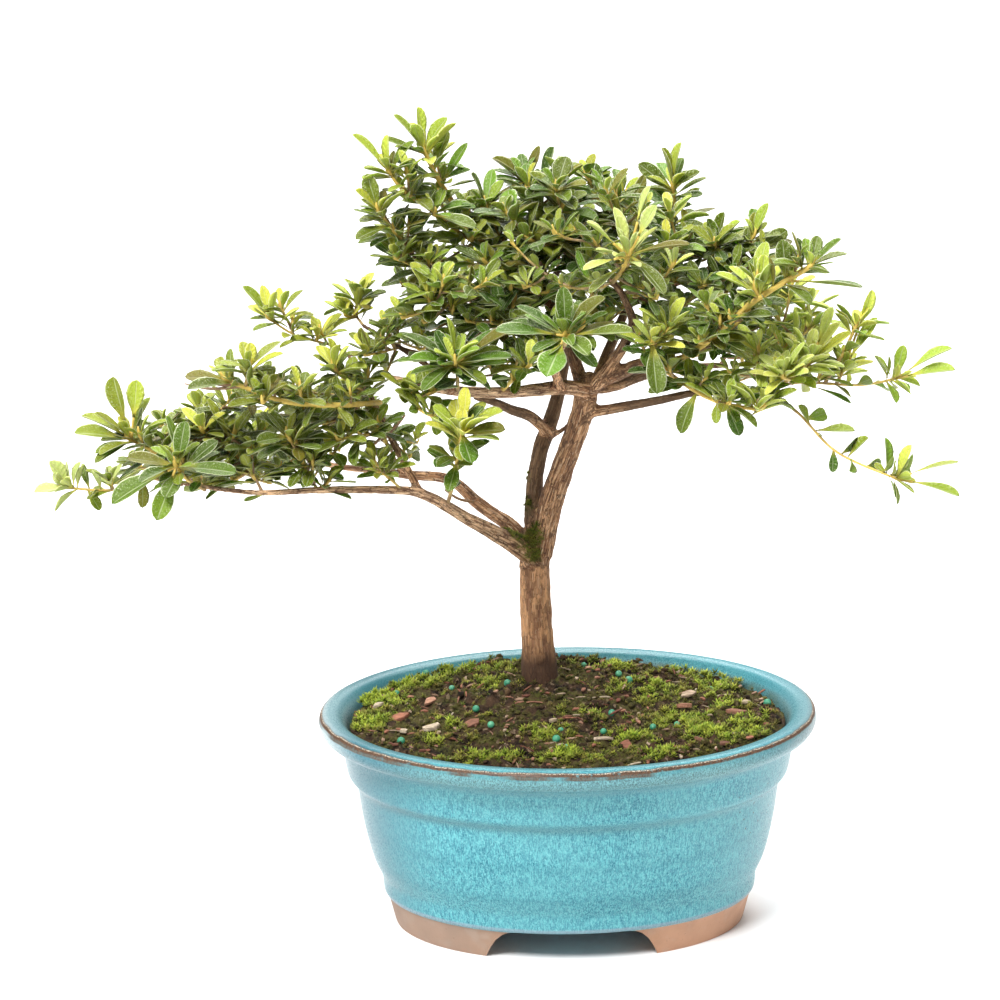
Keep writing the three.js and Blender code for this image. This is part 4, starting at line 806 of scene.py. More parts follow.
def settle(piece, slot_name, *nodes):
    """Rides the piece on the one body and hides the plain solids that it stands for. Its slot name is not used."""
    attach(piece, "root")
    if nodes:
        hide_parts(*nodes)


# Rings of vertices, smooth routes and round tubes along them
def ring_angles(sides):
    return np.arange(sides) * FULL_TURN / sides


def ring_faces(sides, rings, first, low_tip, high_tip):
    """The quads between rings of vertices in a row from the first, and the triangles that close both ends."""
    top = first + (rings - 1) * sides
    quads = []
    triangles = []
    for k in range(sides):
        after = (k + 1) % sides
        for ring in range(first, top, sides):
            quads.append((ring + k, ring + after, ring + sides + after, ring + sides + k))
        triangles.append((low_tip, first + after, first + k))
        triangles.append((high_tip, top + k, top + after))
    return quads, triangles


def smooth_route(points, radii, step):
    """Catmull-Rom through the points, with the radius carried along."""
    fine_points = []
    fine_radii = []
    last = len(points) - 1
    for i in range(last):
        before, start = points[max(i - 1, 0)], points[i]
        end, after = points[i + 1], points[min(i + 2, last)]
        parts = max(2, round((end - start).length / step))
        for k in range(parts):
            t = k / parts
            fine_points.append(0.5 * (
                2 * start + (end - before) * t
                + (2 * before - 5 * start + 4 * end - after) * t ** 2
                + (3 * start - before - 3 * end + after) * t ** 3
            ))
            fine_radii.append(radii[i] + (radii[i + 1] - radii[i]) * t)
    fine_points.append(points[-1].copy())
    fine_radii.append(radii[-1])
    return fine_points, fine_radii


def route_frames(points):
    """A tangent and two side directions at each point, turned as little as possible along the route."""
    last = len(points) - 1
    tangents = [(points[min(i + 1, last)] - points[max(i - 1, 0)]).normalized() for i in range(last + 1)]
    side = Vector((0, 1, 0)).cross(tangents[0])
    if side.length < 0.2:
        side = Vector((1, 0, 0)).cross(tangents[0])
    frames = []
    for tangent in tangents:
        side = (side - tangent * side.dot(tangent)).normalized()
        frames.append((tangent, side, tangent.cross(side)))
    return frames


def fine_route(route):
    """The route in steps of about a millimetre, with the frames along it."""
    fine, _ = smooth_route(route, [1.0] * len(route), 1.0)
    return fine, route_frames(fine)


def outward_of(frame, angle):
    _, side, other = frame
    return side * math.cos(angle) + other * math.sin(angle)


def tube(points, radii, sides):
    """A closed round tube: vertices, quads and the triangles of its two domed ends."""
    frames = route_frames(points)
    angles = ring_angles(sides)
    rings = []
    for point, radius, (_, side, other) in zip(points, radii, frames):
        ring = np.outer(np.cos(angles), side) + np.outer(np.sin(angles), other)
        rings.append(np.array(point) + ring * radius)
    tip_low = np.array(points[0] - frames[0][0] * radii[0] * 0.5)
    tip_high = np.array(points[-1] + frames[-1][0] * radii[-1] * 0.7)
    ends = len(points) * sides
    return np.vstack(rings + [tip_low[None], tip_high[None]]), *ring_faces(sides, len(points), 0, ends, ends + 1)


def limb_route(limb, step):
    return smooth_route(placed(limb), [point[3] for point in limb], step)


# Materials
class Wire:
    """One output of a shader node. Sums, differences and products of wires make the math nodes for them."""

    def __init__(self, nodes, socket):
        self.nodes = nodes
        self.socket = socket

    def __add__(self, other):
        return self.nodes.math("ADD", self, other)

    def __sub__(self, other):
        return self.nodes.math("SUBTRACT", self, other)

    def __rsub__(self, other):
        return self.nodes.math("SUBTRACT", other, self)

    def __mul__(self, other):
        return self.nodes.math("MULTIPLY", self, other)


class Nodes:
    """A new material, with short names for making and joining its shader nodes."""

    def __init__(self, name):
        self.material = bpy.data.materials.new(name)
        self.material.use_nodes = True
        self.tree = self.material.node_tree

    def feed(self, socket, value):
        if isinstance(value, Wire):
            self.tree.links.new(value.socket, socket)
        elif isinstance(value, tuple) and socket.type == "RGBA":
            socket.default_value = (*value, 1)
        else:
            socket.default_value = value

    def make(self, kind, inputs, output=0, **settings):
        """A node with these settings and inputs, and the wire from one of its outputs."""
        node = self.tree.nodes.new(kind)
        for key, value in settings.items():
            setattr(node, key, value)
        for key, value in inputs.items():
            self.feed(node.inputs[key], value)
        return Wire(self, node.outputs[output])

    def math(self, operation, first, second=0.0, clamp=False):
        return self.make("ShaderNodeMath", {0: first, 1: second}, operation=operation, use_clamp=clamp)

    def mix(self, share, first, second, blend="MIX"):
        inputs = {"Factor": share, 6: first, 7: second}
        return self.make("ShaderNodeMix", inputs, 2, data_type="RGBA", blend_type=blend)

    def span(self, value, low, high, to_low=0.0, to_high=1.0):
        """The value's way from low to high, eased in and out, as a number from to_low to to_high."""
        inputs = {"Value": value, "From Min": low, "From Max": high, "To Min": to_low, "To Max": to_high}
        return self.make("ShaderNodeMapRange", inputs, "Result", interpolation_type="SMOOTHSTEP")

    def band(self, value, centre, half_width, soft):
        """1 within the half width of the centre, and 0 outside it."""
        low, high = centre - half_width, centre + half_width
        return self.span(value, low - soft, low + soft) * self.span(value, high - soft, high + soft, 1.0, 0.0)

    def scaled(self, vector, scale):
        return self.make("ShaderNodeVectorMath", {0: vector, 1: scale}, operation="MULTIPLY")

    def noise(self, vector, scale, detail=3.0, roughness=0.55):
        inputs = {"Vector": vector, "Scale": scale, "Detail": detail, "Roughness": roughness}
        return self.make("ShaderNodeTexNoise", inputs, "Fac")

    def cells(self, vector, scale, output="Distance", feature="F1"):
        return self.make("ShaderNodeTexVoronoi", {"Vector": vector, "Scale": scale}, output, feature=feature)

    def attribute(self, name, output="Vector"):
        return self.make("ShaderNodeAttribute", {}, output, attribute_name=name)

    def split(self, vector):
        first = self.make("ShaderNodeSeparateXYZ", {0: vector}).socket
        return [Wire(self, socket) for socket in first.node.outputs]

    def place_mm(self):
        """Where the surface is, in millimetres, in the object's own frame."""
        return self.scaled(self.make("ShaderNodeTexCoord", {}, "Object"), (1000, 1000, 1000))

    def bump(self, height, distance, strength=1.0):
        inputs = {"Height": height, "Distance": distance, "Strength": strength}
        return self.make("ShaderNodeBump", inputs, "Normal")

    def shade(self, **values):
        """Feeds the shader's own inputs, with _ for a space in their names, and gives the material."""
        shader = self.tree.nodes["Principled BSDF"]
        for key, value in values.items():
            self.feed(shader.inputs[key.replace("_", " ")], value)
        return self.material


def leaf_material():
    """Leathery leaves: look is age, chance, upper side and warmth; the flat map is across and along."""
    n = Nodes("azalea_leaf")
    age, chance, upper = n.split(n.attribute("look"))
    warmth = n.attribute("look", "Alpha")
    across, along, _ = n.split(n.make("ShaderNodeUVMap", {}, uv_map="leaf"))
    from_rib = n.math("ABSOLUTE", across)
    spot = n.place_mm()
    cloud = n.noise(spot, 0.35, 2)
    grain = n.noise(spot, 2.8, 3, 0.7)
    hair_glint_noise = n.noise(spot, 1.5, 2, 0.8)

    old_green = n.mix(chance, (0.026, 0.045, 0.003), (0.102, 0.145, 0.008))
    mid_green = n.mix(chance, (0.148, 0.192, 0.012), (0.29, 0.342, 0.025))
    young_green = n.mix(chance, (0.42, 0.49, 0.055), (0.66, 0.69, 0.11))
    to_young = n.span(age, 0.5, 0.9)
    green = n.mix(to_young, n.mix(n.span(age, 0.15, 0.55), old_green, mid_green), young_green)
    green = n.mix(cloud * 0.22, green, (0.15, 0.195, 0.016))
    green = n.mix(n.span(grain, 0.48, 0.38, 0.0, 0.4), green, (0.016, 0.03, 0.004))
    green = n.mix(n.span(grain, 0.54, 0.66, 0.0, 0.3), green, (0.34, 0.42, 0.1))
    deep = n.span(warmth, 0.0, 0.65, 0.85, 0.0) * n.span(age, 0.3, 0.8, 1.0, 0.2)
    green = n.mix(deep, green, (0.56, 0.98, 0.72), "MULTIPLY")
    green = n.mix(n.span(warmth, 0.6, 0.95, 0.0, 0.8), green, (1.15, 1.0, 0.85), "MULTIPLY")
    green = n.mix(n.span(age, 1.05, 1.4) * 0.85, green, (0.38, 0.44, 0.165))

    # Pale rib, side veins and margin, with fine hair specks between them; the margin and the hair specks are
    # partly the leaf's own pale colour and partly painted highlights that stand in for the glints off its hair
    vein_wave = n.math("SINE", (along + from_rib * -0.16) * 44)
    rib = n.span(from_rib, 0.03, 0.1, 1.0, 0.0)
    lines = n.math("MAXIMUM", rib * 0.35, n.span(vein_wave, 0.72, 1.0) * 0.03)
    # The pale margin: the leaf's own pale edge, brightened further as a painted highlight
    lines = n.math("MAXIMUM", lines, n.span(from_rib, 0.88, 0.96) * 0.85)
    # Pale specks of hair, partly painted highlights that stand in for the glints off the hair
    hairy = n.span(hair_glint_noise, 0.56, 0.65, 0.0, 0.55) * n.span(from_rib, 0.2, 0.9, 0.3, 1.0)
    pale = n.mix(to_young, (0.6, 0.64, 0.42), (0.74, 0.78, 0.42))
    top = n.mix(n.math("MAXIMUM", lines, hairy), green, pale)
    under = n.mix(0.5, green, (0.22, 0.25, 0.06))
    under = n.mix(rib * 0.5, under, (0.35, 0.42, 0.2))
    colour = n.mix(upper, under, top)
    bronze = n.span(chance, 0.72, 1.0, 0.0, 0.6) * n.span(age, 0.15, 0.6, 1.0, 0.0)
    colour = n.mix(bronze, colour, (0.13, 0.06, 0.012))
    golden_root = n.mix(to_young, (0.36, 0.32, 0.045), (0.62, 0.56, 0.08))
    colour = n.mix(n.span(along, 0.06, 0.42, 0.9, 0.0), colour, golden_root)

    relief = vein_wave * -0.22 * n.span(from_rib, 0.05, 0.4) - rib * 0.9 + grain * 0.6
    return n.shade(
        Base_Color=colour,
        Roughness=n.span(age, 0.0, 1.0, 0.24, 0.38) + grain * 0.22,
        Normal=n.bump(relief, 0.0003, 0.8),
        Subsurface_Weight=0.12,
        Subsurface_Radius=(0.0012, 0.002, 0.0006),
        Subsurface_Scale=1.0,
        Specular_IOR_Level=0.27,
        Specular_Tint=(1, 1, 0.74),
    )


def young_stem_material():
    """Young stems: golden and a little hairy at the tips, red-brown where they are older."""
    n = Nodes("azalea_young_stem")
    youth, chance, _ = n.split(n.attribute("look"))
    spot = n.place_mm()
    patch = n.noise(spot, 0.5, 3)
    fine = n.noise(spot, 2.4, 3)
    woody = n.mix(patch, (0.17, 0.09, 0.05), (0.3, 0.18, 0.1))
    golden = n.mix(patch, (0.52, 0.32, 0.045), (0.74, 0.53, 0.12))
    colour = n.mix(n.span(youth + (patch - 0.5) * 0.6, 0.2, 0.7), woody, golden)
    colour = n.mix(chance * 0.25, colour, (0.4, 0.5, 0.1))
    colour = n.mix(n.span(fine, 0.5, 0.8, 0.0, 0.5), colour, (0.5, 0.42, 0.24))
    return n.shade(Base_Color=colour, Roughness=0.62, Normal=n.bump(fine, 0.0003, 0.8), Subsurface_Weight=0.05)


def bark_material():
    """Old wood: flaky brown bark, ridged along the limb, with moss low in the crotches."""
    n = Nodes("azalea_bark")
    thickness, tone, moss = n.split(n.attribute("look"))
    ridge = n.attribute("look", "Alpha")
    grain = n.attribute("bark_place")
    patch = n.noise(n.scaled(grain, (0.28, 0.28, 0.07)), 1.0, 4, 0.6)
    streak = n.noise(n.scaled(grain, (1.25, 1.25, 0.13)), 1.0, 5, 0.65)
    fibre = n.noise(n.scaled(grain, (2.5, 2.5, 0.4)), 1.0, 3, 0.65)
    wander = n.noise(grain, 0.35, 3) * 1.6
    crooked = {0: n.scaled(grain, (0.62, 0.62, 0.12)), 1: wander}
    plates = n.cells(n.make("ShaderNodeVectorMath", crooked, operation="ADD"), 1.0, feature="DISTANCE_TO_EDGE")
    spot = n.place_mm()
    stout = n.span(thickness, 0.8, 0.9)

    brown = n.mix(n.span(patch, 0.38, 0.62), (0.33, 0.155, 0.075), (0.78, 0.43, 0.215))
    brown = n.mix(n.span(tone, 0.45, 1.0, 0.0, 0.8), brown, (0.66, 0.52, 0.33))
    colour = n.mix(n.span(streak, 0.41, 0.5, 0.8, 0.0), brown, (0.15, 0.066, 0.034))
    colour = n.mix(n.span(streak, 0.54, 0.63, 0.0, 0.8), colour, (0.93, 0.64, 0.39))
    colour = n.mix(n.span(patch, 0.43, 0.53, 0.0, 0.86) * stout, colour, (0.87, 0.46, 0.215))
    colour = n.mix(n.span(patch, 0.43, 0.36, 0.0, 0.7) * stout, colour, (0.3, 0.125, 0.075))
    colour = n.mix(n.span(fibre, 0.36, 0.46, 0.6, 0.0), colour, (0.11, 0.05, 0.028))
    colour = n.mix(n.span(fibre, 0.58, 0.68, 0.0, 0.55), colour, (0.95, 0.76, 0.53))
    colour = n.mix(stout * 0.42, colour, (0.52, 0.27, 0.135))
    fissure = n.span(plates, 0.02, 0.14, 1.0, 0.0) * n.span(n.noise(spot, 0.3, 2), 0.38, 0.58, 0.25, 1.0)
    fissure = fissure * (0.85 - stout * 0.35)
    colour = n.mix(fissure, colour, (0.05, 0.022, 0.014))
    # Painted shade in the low furrows between the raised ridges
    colour = n.mix(n.span(ridge, 0.1, 0.55, 0.35, 0.0), colour, (0.06, 0.028, 0.017))
    colour = n.mix(n.span(tone, 0.0, 0.5, 0.8, 0.0), colour, (0.088, 0.055, 0.03))
    green = n.mix(fibre, (0.07, 0.07, 0.016), (0.19, 0.18, 0.04))
    colour = n.mix(n.math("MULTIPLY", moss, n.span(fibre, 0.4, 0.6), clamp=True), colour, green)
    # Darker towards the foot of the trunk, near the soil
    foot_dark_height = n.split(spot)[2] - n.noise(spot, 0.1, 3) * 8.0
    colour = n.mix(n.span(foot_dark_height, 94, 110, 0.92, 0.0), colour, (0.045, 0.022, 0.014))
    relief = streak * 0.9 + fibre * 0.6 - fissure * 0.4
    return n.shade(
        Base_Color=colour, Roughness=0.8, Normal=n.bump(relief, 0.0008, 0.9), Specular_IOR_Level=0.3,
    )


def glaze_material():
    """Mottled turquoise glaze that thins to brown on the rim's edge, over a bare terracotta foot."""
    n = Nodes("pot_glaze")
    spot = n.place_mm()
    inset, height, across = n.split(n.attribute("wall"))
    streaks = n.noise(n.scaled(spot, (1.5, 1.5, 0.3)), 1.0, 4, 0.65)
    flecks = n.noise(n.scaled(spot, (2.4, 2.4, 1.3)), 1.0, 4, 0.75)
    cloud = n.noise(n.scaled(spot, (0.03, 0.03, 0.05)), 1.0, 3)
    grain = n.noise(spot, 2.2, 2)
    base = n.mix(n.span(streaks, 0.38, 0.62), (0.022, 0.165, 0.226), (0.104, 0.4, 0.44))
    base = n.mix(n.span(flecks, 0.54, 0.64, 0.0, 0.85), base, (0.22, 0.55, 0.57))
    base = n.mix(n.span(flecks, 0.46, 0.36, 0.0, 0.85), base, (0.008, 0.095, 0.15))
    base = n.mix(n.span(cloud, 0.35, 0.65, 0.0, 0.25), base, (0.13, 0.38, 0.41))

    # Painted shade in the grooves under the collar and at the lower step, and darker mottled glaze on the collar
    # Painted shade: a painted contact shadow just under the collar and a darker line at the lower step
    groove_shade = n.band(height, 78.8, 1.9, 2.0) + n.band(height, 61.4, 1.5, 2.8)
    shading = n.math("MULTIPLY", groove_shade, n.span(streaks, 0.35, 0.6, 0.3, 0.8), clamp=True)
    base = n.mix(shading, base, (0.09, 0.19, 0.21))
    # Painted shade in soft bands low on the body, standing in for its gentle undulations
    ring_shade = n.band(height, 43, 1.2, 2.4) + n.band(height, 28, 1.2, 2.4)
    base = n.mix(ring_shade * 0.3, base, (0.03, 0.16, 0.2))
    collar = n.band(height, 84.2, 2.6, 1.0)
    base = n.mix(collar * 0.5, base, (0.13, 0.24, 0.245))
    specks = n.span(flecks, 0.52, 0.45) * n.span(streaks, 0.4, 0.55, 0.5, 1.0)
    base = n.mix(collar * (specks * 0.8), base, (0.05, 0.1, 0.1))
    # A painted shadow line at the collar's lower step
    base = n.mix(n.band(height, 81.2, 0.5, 0.8) * 0.7, base, (0.05, 0.14, 0.16))

    # A film of soil on the inner wall, painted shade towards both sides, a painted reflection near the ends and a
    # darker upper face
    film = n.span(inset, 9.5, 11.5) * n.span(n.noise(spot, 0.16, 4), 0.4, 0.6, 0.1, 0.75)
    base = n.mix(film * n.band(height, 84.5, 3.0, 0.8), base, (0.11, 0.12, 0.05))
    # Painted shade towards the right and the left side, darkening where side light and floor bounce brighten the
    # glaze
    base = n.mix(n.span(across, 0.55, 0.95, 0.0, 0.6), base, (0.035, 0.16, 0.2))
    base = n.mix(n.span(across, -0.84, -0.48, 0.86, 0.0), base, (0.028, 0.13, 0.17))
    # A painted reflection: the glaze greys near both ends, paler at the left, like the white studio mirrored in it
    ends = n.span(n.math("ABSOLUTE", across), 0.8, 1.0) * n.span(height, 80, 85)
    painted_end_reflection = n.mix(n.span(across, -0.2, 0.2), (0.46, 0.53, 0.54), (0.2, 0.245, 0.25))
    base = n.mix(ends * 0.6, base, painted_end_reflection)
    upper_face = n.span(inset, 2.4, 4.4) * n.span(height, 86.4, 88.2)
    base = n.mix(upper_face * 0.55, base, (0.05, 0.19, 0.22))

    # Brown edge of the rim, with its drips, pale halo and glints
    wander = (n.noise(spot, 0.1, 4) - 0.5) * 1.1
    edge_height = height + wander
    outside = n.span(inset, 2.6, 3.6, 1.0, 0.0)
    thick = n.span(n.noise(n.scaled(spot, (1, 0.4, 0.4)), 0.035, 2), 0.48, 0.58)
    drip = n.band(edge_height, 87.6, 0.9, 0.35) * outside * thick
    worn = n.math("MAXIMUM", n.band(edge_height, 88.6, 0.72, 0.3) * outside, drip)
    worn = worn * n.span(n.noise(spot, 0.4, 3), 0.26, 0.42, 0.4, 1.0)
    brown = n.mix(n.span(grain, 0.35, 0.65), (0.025, 0.011, 0.005), (0.12, 0.055, 0.024))
    glazed = n.mix(worn, base, brown)
    halo = n.band(edge_height, 87.4, 0.5, 0.6) * n.span(streaks, 0.35, 0.6, 0.1, 0.6)
    glazed = n.mix(halo * outside, glazed, (0.1, 0.16, 0.15))
    glints = n.band(edge_height, 89.05, 0.12, 0.18) * n.span(flecks, 0.5, 0.56)
    glazed = n.mix(glints * outside, glazed, (0.85, 0.74, 0.58))
    at_x, _, at_z = n.split(spot)
    pinholes = n.span(n.cells(spot, 0.34), 0.17, 0.11) * n.span(at_x, 88, 96) * n.span(at_z, 40, 50)
    glazed = n.mix(pinholes * n.span(at_z, 72, 64), glazed, (0.02, 0.03, 0.03))

    # Bare clay of the foot, under a lilac lip
    clay = n.mix(n.span(n.noise(spot, 0.07, 4), 0.3, 0.7), (0.31, 0.16, 0.088), (0.47, 0.25, 0.145))
    clay = n.mix(n.span(n.noise(spot, 0.12, 4), 0.5, 0.75, 0.0, 0.45), clay, (0.5, 0.4, 0.32))
    # Painted shade greys the left of the foot and a painted lift brightens its right, evening out the side light
    clay = n.mix(n.span(across, -0.5, 0.0, 0.7, 0.0), clay, (0.28, 0.21, 0.165))
    clay = n.mix(n.span(across, 0.1, 0.5, 0.0, 0.4), clay, (0.62, 0.36, 0.24))
    clay = n.mix(n.span(n.noise(spot, 1.1, 4), 0.36, 0.26, 0.0, 0.6), clay, (0.18, 0.1, 0.065))
    lip = height + wander * 0.35
    bare = n.span(lip, 12.3, 12.9, 1.0, 0.0)
    glazed = n.mix(n.band(lip, 13.9, 0.8, 0.5) * 0.6, glazed, (0.26, 0.3, 0.36))
    return n.shade(
        Base_Color=n.mix(bare, glazed, clay),
        Roughness=bare * 0.5 + (flecks * 0.16 + 0.2) + worn * 0.35,
        Normal=n.bump(flecks * 0.6 + grain * 0.4, 0.0002, 0.6),
        Coat_Weight=0.06,
        Coat_Roughness=0.12,
        Specular_IOR_Level=0.38,
    )


def soil_material():
    """Dark crumbs of bark and peat with reddish fibres and light grit."""
    n = Nodes("bonsai_soil")
    _, chance, _ = n.split(n.attribute("look"))
    spot = n.place_mm()
    clump = n.noise(spot, 0.16, 5, 0.6)
    crumb = n.noise(spot, 0.9, 5, 0.65)
    grit, _, _ = n.split(n.cells(spot, 0.8, "Color"))
    colour = n.mix(n.span(clump, 0.35, 0.65), (0.007, 0.005, 0.003), (0.062, 0.034, 0.019))
    colour = n.mix(n.span(crumb, 0.5, 0.75, 0.0, 0.8), colour, (0.12, 0.07, 0.042))
    colour = n.mix(n.span(grit, 0.93, 0.97, 0.0, 0.55), colour, (0.28, 0.2, 0.13))
    colour = n.mix(n.span(chance, 0.8, 1.0, 0.0, 0.6), colour, (0.2, 0.11, 0.065))
    film = n.span(n.noise(spot, 0.09, 4), 0.42, 0.56) * n.span(crumb, 0.36, 0.6, 0.1, 0.75)
    colour = n.mix(film, colour, (0.075, 0.078, 0.014))
    return n.shade(
        Base_Color=colour, Roughness=0.95, Normal=n.bump(crumb, 0.0012), Specular_IOR_Level=0.2,
    )


def moss_material():
    """Moss: bright yellow-green stars, darker down among the stems."""
    n = Nodes("soil_moss")
    rise, chance, patch = n.split(n.attribute("look"))
    low = n.mix(chance, (0.03, 0.04, 0.005), (0.09, 0.1, 0.012))
    bright = n.mix(chance, (0.17, 0.26, 0.018), (0.46, 0.53, 0.055))
    dull = n.mix(chance, (0.06, 0.07, 0.01), (0.22, 0.17, 0.035))
    return n.shade(
        Base_Color=n.mix(n.span(rise, 0.0, 0.75), low, n.mix(patch, dull, bright)),
        Roughness=0.75,
        Subsurface_Weight=0.1,
        Subsurface_Radius=(0.0006, 0.001, 0.0003),
        Specular_IOR_Level=0.3,
    )


def chip_material():
    """Dry bark chips and slivers: look's first number runs from red-brown to tan."""
    n = Nodes("bark_chips")
    tan, chance, _ = n.split(n.attribute("look"))
    grain = n.noise(n.scaled(n.place_mm(), (0.5, 1.6, 1.6)), 1.0, 4)
    red = n.mix(chance, (0.14, 0.045, 0.028), (0.42, 0.17, 0.1))
    pale = n.mix(chance, (0.38, 0.3, 0.19), (0.62, 0.54, 0.4))
    colour = n.mix(n.span(grain, 0.4, 0.65, 0.5, 0.0), n.mix(tan, red, pale), (0.07, 0.035, 0.022))
    return n.shade(
        Base_Color=colour, Roughness=0.85, Normal=n.bump(grain, 0.0004, 0.8), Specular_IOR_Level=0.3,
    )


def bead_material():
    """Coated feed granules: blue-green, dusty and a little worn."""
    n = Nodes("feed_beads")
    _, chance, _ = n.split(n.attribute("look"))
    dust = n.noise(n.place_mm(), 0.9, 4)
    colour = n.mix(chance, (0.02, 0.19, 0.105), (0.08, 0.36, 0.2))
    colour = n.mix(n.span(dust, 0.5, 0.75, 0.0, 0.6), colour, (0.27, 0.48, 0.32))
    colour = n.mix(n.span(dust, 0.4, 0.28, 0.0, 0.6), colour, (0.03, 0.06, 0.045))
    return n.shade(Base_Color=colour, Roughness=0.55, Normal=n.bump(dust, 0.0003, 0.6))


def screen_material():
    """Dark moulded mesh."""
    n = Nodes("drain_screen")
    ribs = n.cells(n.place_mm(), 0.9)
    colour = n.mix(ribs, (0.012, 0.014, 0.012), (0.03, 0.034, 0.03))
    return n.shade(Base_Color=colour, Roughness=0.55, Normal=n.bump(ribs, 0.0003))


LEAF = leaf_material()
YOUNG_STEM = young_stem_material()
BARK = bark_material()
GLAZE = glaze_material()
SOIL = soil_material()
MOSS = moss_material()
CHIP = chip_material()
BEAD = bead_material()
SCREEN = screen_material()


# Pot
def oval_depth(radius):
    """How deep the oval is, front to back, where it is this far across: each ring is inset evenly all round."""
    if radius > OVAL_CORE:
        return radius - OVAL_NARROWING
    return radius * (OVAL_CORE - OVAL_NARROWING) / OVAL_CORE


def oval_ring(radius, height, angles):
    depth = oval_depth(radius)
    return [(radius * math.cos(a), depth * math.sin(a), height) for a in angles]


def rounded_profile(points, rounds):
    """Corners cut twice over, so that the thrown and glazed wall has no sharp edge."""
    for _ in range(rounds):
        cut = [points[0]]
        for (x0, z0), (x1, z1) in zip(points, points[1:]):
            cut.append((0.75 * x0 + 0.25 * x1, 0.75 * z0 + 0.25 * z1))
            cut.append((0.25 * x0 + 0.75 * x1, 0.25 * z0 + 0.75 * z1))
        cut.append(points[-1])
        points = cut
    return points


def prism(name, outline, low, high, to_point):
    """A straight prism: the outline's points are put in space by to_point at its low and high ends."""
    count = len(outline)
    faces = [tuple(range(count)), tuple(reversed(range(count, 2 * count)))]
    for k in range(count):
        after = (k + 1) % count
        faces.append((k, count + k, count + after, after))
    mesh = new_mesh(name, [to_point(a, b, level) for level in (low, high) for a, b in outline], faces)
    shape = bmesh.new()
    shape.from_mesh(mesh)
    bmesh.ops.recalc_face_normals(shape, faces=shape.faces)
    shape.to_mesh(mesh)
    shape.free()
    return add_object(name, mesh)


def cut_away(piece, cutter):
    modifier = piece.modifiers.new("cut", "BOOLEAN")
    modifier.operation = "DIFFERENCE"
    modifier.solver = "EXACT"
    modifier.object = cutter
    apply_modifiers(piece)
    bpy.data.objects.remove(cutter, do_unlink=True)


def apply_modifiers(piece):
    """Bakes the modifiers into the mesh."""
    depsgraph = bpy.context.evaluated_depsgraph_get()
    made = bpy.data.meshes.new_from_object(piece.evaluated_get(depsgraph), depsgraph=depsgraph)
    old = piece.data
    piece.modifiers.clear()
    piece.data = made
    bpy.data.meshes.remove(old)


def foot_arch_outline():
    """The arched gap between the two feet, as across and height, with rounded shoulders."""
    right = [(34.5, -1), (34, 1), (32.6, 4.5), (30.6, 8.2), (28, 11), (25.6, 12.4), (23, 13)]
    return right + [(-x, z) for x, z in reversed(right)]


def wall_places(points):
    """Each point's inset from the rim's outline, its height and how far across it is, for the glaze."""
    x, y = np.abs(points[:, 0]), np.abs(points[:, 1])
    radius = np.hypot(x, y) + 10
    for _ in range(12):
        depth = np.maximum(radius - OVAL_NARROWING, 1)
        miss = (x / radius) ** 2 + (y / depth) ** 2 - 1
        slope = -2 * x ** 2 / radius ** 3 - 2 * y ** 2 / depth ** 3
        radius = np.maximum(radius - miss / np.minimum(slope, -1e-6), OVAL_NARROWING + 2)
    return np.stack([RIM_HALF_LENGTH - radius, points[:, 2], points[:, 0] / RIM_HALF_LENGTH], axis=1)


def mesh_points(mesh):
    flat = np.empty(len(mesh.vertices) * 3)
    mesh.vertices.foreach_get("co", flat)
    return (flat.reshape(-1, 3) - POT_CENTRE) / MM


def build_pot():
    outer = rounded_profile([(RIM_HALF_LENGTH - inset, height) for inset, height in POT_WALL], 2)
    profile = [
        (FOOT_INNER_RADIUS - 1.5, FLOOR_UNDERSIDE), (FOOT_INNER_RADIUS - 0.3, FLOOR_UNDERSIDE - 1),
        (FOOT_INNER_RADIUS, 0.6), (FOOT_INNER_RADIUS + 0.6, 0), *outer,
    ]
    angles = ring_angles(POT_SIDES)
    vertices = [(0, 0, FLOOR_UNDERSIDE)]
    for radius, height in profile:
        vertices += oval_ring(radius, height, angles)
    vertices.append((0, 0, FLOOR_TOP))
    quads, triangles = ring_faces(POT_SIDES, len(profile), 1, 0, len(vertices) - 1)
    pot = add_object("bonsai_pot", new_mesh("bonsai_pot", vertices, quads + triangles))
    depth = RIM_HALF_DEPTH * 1.2
    cut_away(pot, prism("arch", foot_arch_outline(), -depth, depth, lambda x, z, y: (x, y, z)))
    circle = [
        (DRAIN_HOLE_RADIUS * math.cos(a), DRAIN_HOLE_RADIUS * math.sin(a)) for a in ring_angles(DRAIN_HOLE_SIDES)
    ]
    for middle in (-DRAIN_HOLE_X, DRAIN_HOLE_X):
        cut_away(pot, prism(
            "drain", circle, -1, 3 * FLOOR_TOP, lambda x, y, z, at=middle: (x + at, y, z),
        ))
    mesh = pot.data
    set_attribute(mesh, "wall", "FLOAT_VECTOR", wall_places(mesh_points(mesh)))
    mesh.shade_smooth()
    mesh.set_sharp_from_angle(angle=POT_SHARP_ANGLE)
    mesh.materials.clear()
    mesh.materials.append(GLAZE)
    settle(pot, "stoneware_glaze", "pot")


# Soil
TRUNK_FOOT = place((17, -82, 30))


def soil_height(x, y):
    """The packed soil's surface: a low mound round the trunk with soft clumps."""
    away = np.hypot(x - TRUNK_FOOT.x, y - TRUNK_FOOT.y)
    mound = SOIL_MOUND_HEIGHT * np.exp(-((away / SOIL_MOUND_SPREAD) ** 2))
    clumps = 0.9 * np.sin(x * 0.31 + 1.3) * np.cos(y * 0.27)
    return SOIL_EDGE_HEIGHT + mound + clumps + 0.6 * np.sin(x * 0.83 - y * 0.61)


def crumbs(x, y):
    """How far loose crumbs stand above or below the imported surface."""
    coarse = noise.noise(Vector((x * 0.11, y * 0.11, 3.1)))
    middle = noise.noise(Vector((x * 0.33, y * 0.33, 7.7)))
    fine = noise.noise(Vector((x * 0.9, y * 0.9, 1.9)))
    return 1.9 * coarse + 1.7 * middle + 0.9 * fine


def ground(x, y):
    return float(soil_height(x, y)) + crumbs(x, y)


